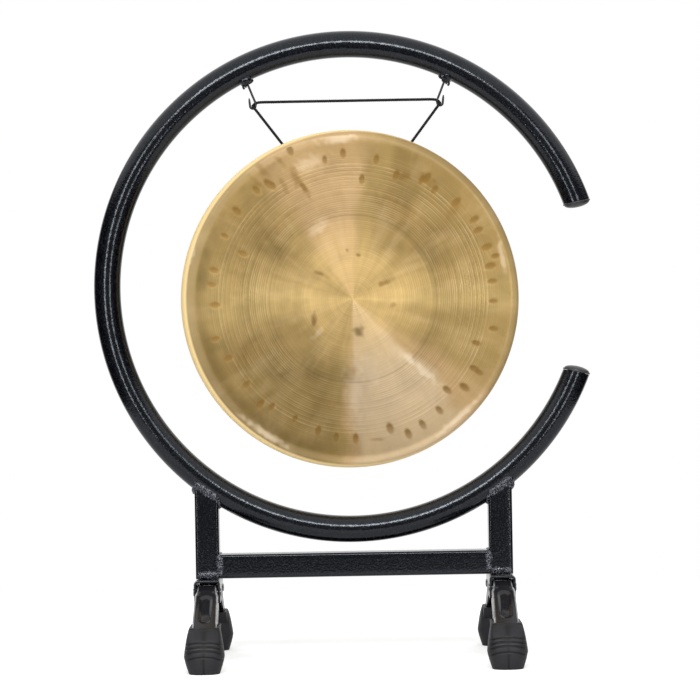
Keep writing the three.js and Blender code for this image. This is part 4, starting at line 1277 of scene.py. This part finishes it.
# Stains and broad darker patches, and pale streaks of painted sheen, on the same grid: place, half sizes,
# turn in degrees and depth, where a pale streak of painted sheen is below 0
STAINS_AND_SHEEN = [
    (414, 424, 26, 7, -22, 0.9), (521, 371, 8, 6, 0, 0.9), (489, 357, 5, 5, 0, 0.6),
    (597, 450, 28, 9, 22, 0.8), (620, 516, 11, 9, 0, 0.5), (391, 552, 21, 9, 85, 0.9),
    (518, 588, 18, 17, 0, 0.9), (348, 148, 46, 15, -58, 0.8), (302, 100, 20, 8, -45, 0.6),
    (655, 147, 28, 10, -10, 0.8), (718, 162, 30, 17, -24, 0.8), (795, 245, 30, 15, 60, 0.6),
    (372, 185, 26, 10, -64, 0.7), (250, 126, 34, 12, -50, 0.6), (236, 160, 26, 9, -44, 0.6),
    (312, 170, 34, 9, -60, 0.5), (200, 640, 60, 30, 50, 0.3), (176, 430, 60, 30, 90, 0.25),
    (650, 250, 90, 40, -40, 0.3), (760, 420, 60, 30, 80, 0.2), (300, 280, 60, 22, 45, 0.3),
    (420, 800, 60, 30, 10, 0.3), (566, 900, 24, 6, 0, 0.5), (700, 704, 64, 12, -42, -0.8),
    (652, 660, 40, 16, -40, -0.6), (500, 760, 90, 34, 90, -0.3), (545, 700, 60, 30, -60, -0.3),
    (408, 290, 40, 18, 45, -0.4), (402, 592, 30, 9, 45, -0.4), (470, 40, 60, 16, 5, -0.6),
    (380, 110, 60, 22, 20, -0.4), (50, 330, 60, 8, 80, -0.5), (930, 380, 60, 8, 100, -0.5),
    (250, 880, 90, 10, -35, -0.6), (800, 840, 90, 10, 40, -0.6),
]


def on_grid(x, y):
    """A place on the gong's face, across and up from its middle."""
    return Vector(((x - MARK_MIDDLE[0]) * MARK_STEP, (MARK_MIDDLE[1] - y) * MARK_STEP))


def gong_skin(inset, step):
    """Half of the gong's skin as pairs of radius and depth, from the middle to the end of the flange."""
    profile = []
    flat_end = GONG_RADIUS - SHOULDER
    steps = round(flat_end / step)
    zone_depth = -GONG_DOME * (1 - DOME_SHARE)
    for k in range(steps):
        radius = flat_end * k / steps
        if radius < ZONE_RADIUS:
            depth = -GONG_DOME + (zone_depth + GONG_DOME) * (radius / ZONE_RADIUS) ** DOME_POWER
        else:
            depth = zone_depth * (1 - (radius - ZONE_RADIUS) / (flat_end - ZONE_RADIUS))
        profile.append((radius, inset + depth))
    profile += arc((flat_end, SHOULDER), SHOULDER - inset, -pi / 2, -FLANGE_LEAN, ROUND_STEPS)
    top = GONG_RADIUS - (GONG_DEPTH - SHOULDER) * tan(FLANGE_LEAN)
    first = profile[-1]
    for k in range(1, ROUND_STEPS + 1):
        share = k / ROUND_STEPS
        radius = first[0] + (top - inset - first[0]) * share
        profile.append((radius, first[1] + (GONG_DEPTH - first[1]) * share))
    return profile


def oval(offset, long_axis, length, width):
    """Distance from an oval's middle, as a share of its half sizes."""
    across = offset.y * long_axis.x - offset.x * long_axis.y
    return hypot(offset.dot(long_axis) / length, across / width)


def mark_at(place):
    if not MARK_BAND[0] < place.length < MARK_BAND[1]:
        return 0.0
    depth = 0.0
    for number, (x, y) in enumerate(HAMMER_MARKS):
        middle = on_grid(x, y)
        offset = place - middle
        if offset.length > 2 * MARK_LENGTH:
            continue
        size = 1.0 + 0.3 * noise.noise(Vector((number * 3.7, 0.5, 0.2)))
        away = oval(offset, middle.normalized(), MARK_LENGTH * size, MARK_WIDTH * size)
        # Each mark is darker, and its dent deeper, towards its upper side: painted shade inside the dent.
        dent_shade = 0.7 + 0.3 * smooth_share(offset.y, -MARK_WIDTH, MARK_WIDTH)
        depth = max(depth, dent_shade * (1 - smooth_share(away, 0.6, 1.2)))
    return depth


def stain_and_sheen_at(place):
    depth = 0.0
    scale, strongest = STAIN_AND_SHEEN_EDGE
    ragged = strongest * noise.noise(Vector((place.x, place.y, 0.0)) * scale)
    for x, y, length, width, turn, strength in STAINS_AND_SHEEN:
        offset = place - on_grid(x, y)
        if offset.length > 1.7 * length * MARK_STEP:
            continue
        long_axis = Vector((cos(radians(turn)), sin(radians(turn))))
        away = oval(offset, long_axis, length * MARK_STEP, width * MARK_STEP)
        depth += strength * (1 - smooth_share(away + ragged, 0.2, 1.3))
    return max(-1.0, min(depth, 1.0))


def cut_holes(piece):
    """Drills the two holes for the cord through the flange."""
    cutters = []
    for way in (-1, 1):
        bpy.ops.mesh.primitive_cylinder_add(radius=HOLE_RADIUS, depth=DRILL_LENGTH, vertices=32)
        cutter = bpy.context.object
        direction = Vector((way * sin(GONG_HOLE_ANGLE), 0.0, cos(GONG_HOLE_ANGLE)))
        cutter.rotation_mode = "QUATERNION"
        cutter.rotation_quaternion = direction.to_track_quat("Z", "Y")
        cutter.location = direction * HOLE_REACH + Vector((0, GONG_HOLE_DEPTH, 0))
        modifier = piece.modifiers.new("hole", "BOOLEAN")
        modifier.operation = "DIFFERENCE"
        modifier.solver = "EXACT"
        modifier.object = cutter
        cutters.append(cutter)
    bpy.context.view_layer.update()
    made = bpy.data.meshes.new_from_object(piece.evaluated_get(bpy.context.evaluated_depsgraph_get()))
    piece.modifiers.clear()
    piece.data = made
    for cutter in cutters:
        bpy.data.objects.remove(cutter)


def gong_tilt():
    """How far the gong hangs out of plumb, from the mean direction of its CAD node's face."""
    total = Vector()
    for face in frame["nodes"]["gong"].data.polygons:
        if face.normal.y < -0.9:
            total += face.normal * face.area
    return atan2(-total.z, -total.y)


def on_face(vertex):
    return vertex.co.y < GONG_THICKNESS * 0.4 and vertex.normal.y < 0


def make_gong():
    outer, inner = gong_skin(0.0, FACE_STEP), gong_skin(GONG_THICKNESS, 4 * FACE_STEP)
    outer_end, inner_end = outer[-1], inner[-1]
    centre = ((outer_end[0] + inner_end[0]) / 2, GONG_DEPTH - EDGE_ROUND)
    outer[-1] = (outer_end[0], GONG_DEPTH - EDGE_ROUND)
    inner[-1] = (inner_end[0], GONG_DEPTH - EDGE_ROUND)
    lip = arc(centre, (outer_end[0] - inner_end[0]) / 2, 0, pi, 6)[1:-1]
    lip = [(r, GONG_DEPTH - EDGE_ROUND + (d - centre[1]) * 0.85) for r, d in lip]
    profile = outer + lip + list(reversed(inner))
    vertices, faces = lathe(profile, GONG_SIDES)
    shaped = []
    for v in vertices:
        place = Vector((v.x, v.z))
        dent = MARK_DENT * mark_at(place)
        sag = SAG * noise.noise(Vector((v.x, v.z, 0.0)) * SAG_SCALE)
        shaped.append(v + Vector((0, dent + sag if v.y < SHOULDER else 0.0, 0)))
    mesh = make_mesh(shaped, faces, crease=50.0)
    matrix = (
        Matrix.Translation((RING_X, 0.0, HINGE_Z))
        @ Matrix.Rotation(gong_tilt(), 4, "X")
        @ Matrix.Translation((0, -GONG_HOLE_DEPTH, -HOLE_RISE))
    )
    piece = bpy.data.objects.new("gong_lathed", mesh)
    scene.collection.objects.link(piece)
    cut_holes(piece)
    mesh = piece.data
    bpy.data.objects.remove(piece)
    for name, depth_at in (("hammer_mark_and_shade", mark_at), ("stain_and_sheen", stain_and_sheen_at)):
        mark_points(mesh, name, lambda vertex: depth_at(vertex.co.xz) if on_face(vertex) else 0.0)
    place_piece("gong_lathed", mesh, "gong", "gong_bronze", ["gong"], matrix)


# Assembly

make_ring()
make_plug("upper")
make_plug("lower")
make_crossbar()
for side, outward in SIDES.items():
    make_upright(side, outward)
    make_bracket(side, outward)
    make_eye(side, outward)
    make_hook(side, outward)
    for end, backward in ENDS.items():
        turned = Matrix.Rotation(pi, 4, "Z") if backward > 0 else Matrix.Identity(4)
        place = (RING_X + outward * UPRIGHT_OFFSET, backward * PIN_OFFSET, PIN_Z)
        hinge_matrix = Matrix.Translation(place) @ turned
        make_pin(side, end)
        make_leg(side, end, hinge_matrix)
        make_boot(side, end, hinge_matrix)
make_cord()
make_gong()


# Floor and light

FLOOR_REACH = 0.75
STUDIO_DIM = 0.2
STUDIO_FILL = 0.6
STUDIO_CEILING = 1.15


def floor_material():
    """White paper that stays white behind the object and keeps its soft shadow."""
    material, tree, shader = new_material("floor")
    where = object_place(tree)
    fibre = cloud(tree, where, 300.0, 2.0)
    put(tree, shader.inputs["Base Color"], mixed(tree, fibre, grey(0.84), grey(0.88)))
    shader.inputs["Roughness"].default_value = 0.9
    path = add(tree, "LightPath")
    away = vectors(tree, "LENGTH", where)
    glow_strength = spread(tree, away, 0.2, 0.7, 0.42, 1.0, True)
    seen = times(tree, path.outputs["Is Camera Ray"], glow_strength)
    glow = add(tree, "Emission", {"Color": grey(1.0), "Strength": seen})
    both = add(tree, "AddShader", {0: shader.outputs[0], 1: glow.outputs[0]})
    tree.links.new(both.outputs[0], tree.nodes["Material Output"].inputs["Surface"])
    return material


def make_floor():
    corners = [(x * FLOOR_REACH, y * FLOOR_REACH, 0) for x, y in ((-1, -1), (1, -1), (1, 1), (-1, 1))]
    mesh = bpy.data.meshes.new("floor")
    mesh.from_pydata(corners, [], [(0, 1, 2, 3)])
    mesh.materials.append(floor_material())
    floor = bpy.data.objects.new("floor", mesh)
    scene.collection.objects.link(floor)


def make_world():
    """White behind the object, which the camera and reflections see, and a dim studio in front of it."""
    world = bpy.data.worlds.new("studio")
    world.use_nodes = True
    tree = world.node_tree
    path = add(tree, "LightPath")
    seen = maths(tree, "MAXIMUM", path.outputs["Is Camera Ray"], path.outputs["Is Transmission Ray"])
    axes = add(tree, "SeparateXYZ", {0: add(tree, "TexCoord").outputs["Generated"]})
    ahead, height = axes.outputs["Y"], axes.outputs["Z"]
    behind = spread(tree, ahead, 0.5, 0.9, 0.0, 1.0, True)
    above = spread(tree, height, 0.34, 0.46, 0.0, STUDIO_CEILING, True)
    walls = spread(tree, height, -0.7, -0.4, 0.0, STUDIO_DIM, True)
    walls = times(tree, walls, spread(tree, ahead, -0.9, -0.4, 1.0, 0.12, True))
    studio = maths(tree, "MAXIMUM", maths(tree, "MAXIMUM", behind, above), walls)
    glossy = times(tree, path.outputs["Is Glossy Ray"], studio)
    diffuse = times(tree, path.outputs["Is Diffuse Ray"], STUDIO_FILL)
    strength = maths(tree, "MAXIMUM", seen, maths(tree, "MAXIMUM", glossy, diffuse))
    background = tree.nodes["Background"]
    background.inputs["Color"].default_value = grey(1.0)
    put(tree, background.inputs["Strength"], strength)
    scene.world = world


AIM = Vector((0.0, 0.0, 0.36))
# Place, width, height, power and whether reflections show it
SOFTBOXES = {
    "key": ((-0.1, -1.82, 1.22), 1.2, 0.28, 19.0, True),
    "left": ((-0.83, -1.82, 0.5), 0.2, 1.1, 8.5, True),
    "right": ((0.66, -1.82, 0.5), 0.18, 1.1, 6.0, True),
    "top": ((0.1, -0.5, 2.2), 1.6, 0.7, 10.0, False),
}


def make_lights():
    for name, (place, width, height, power, mirrored) in SOFTBOXES.items():
        light = bpy.data.lights.new(name, "AREA")
        light.shape = "RECTANGLE"
        light.size, light.size_y, light.energy = width, height, power
        lamp = bpy.data.objects.new(name, light)
        lamp.location = place
        lamp.rotation_euler = (AIM - Vector(place)).to_track_quat("-Z", "Y").to_euler()
        lamp.visible_glossy = mirrored
        scene.collection.objects.link(lamp)


make_floor()
make_world()
make_lights()
scene.view_settings.view_transform = "Standard"
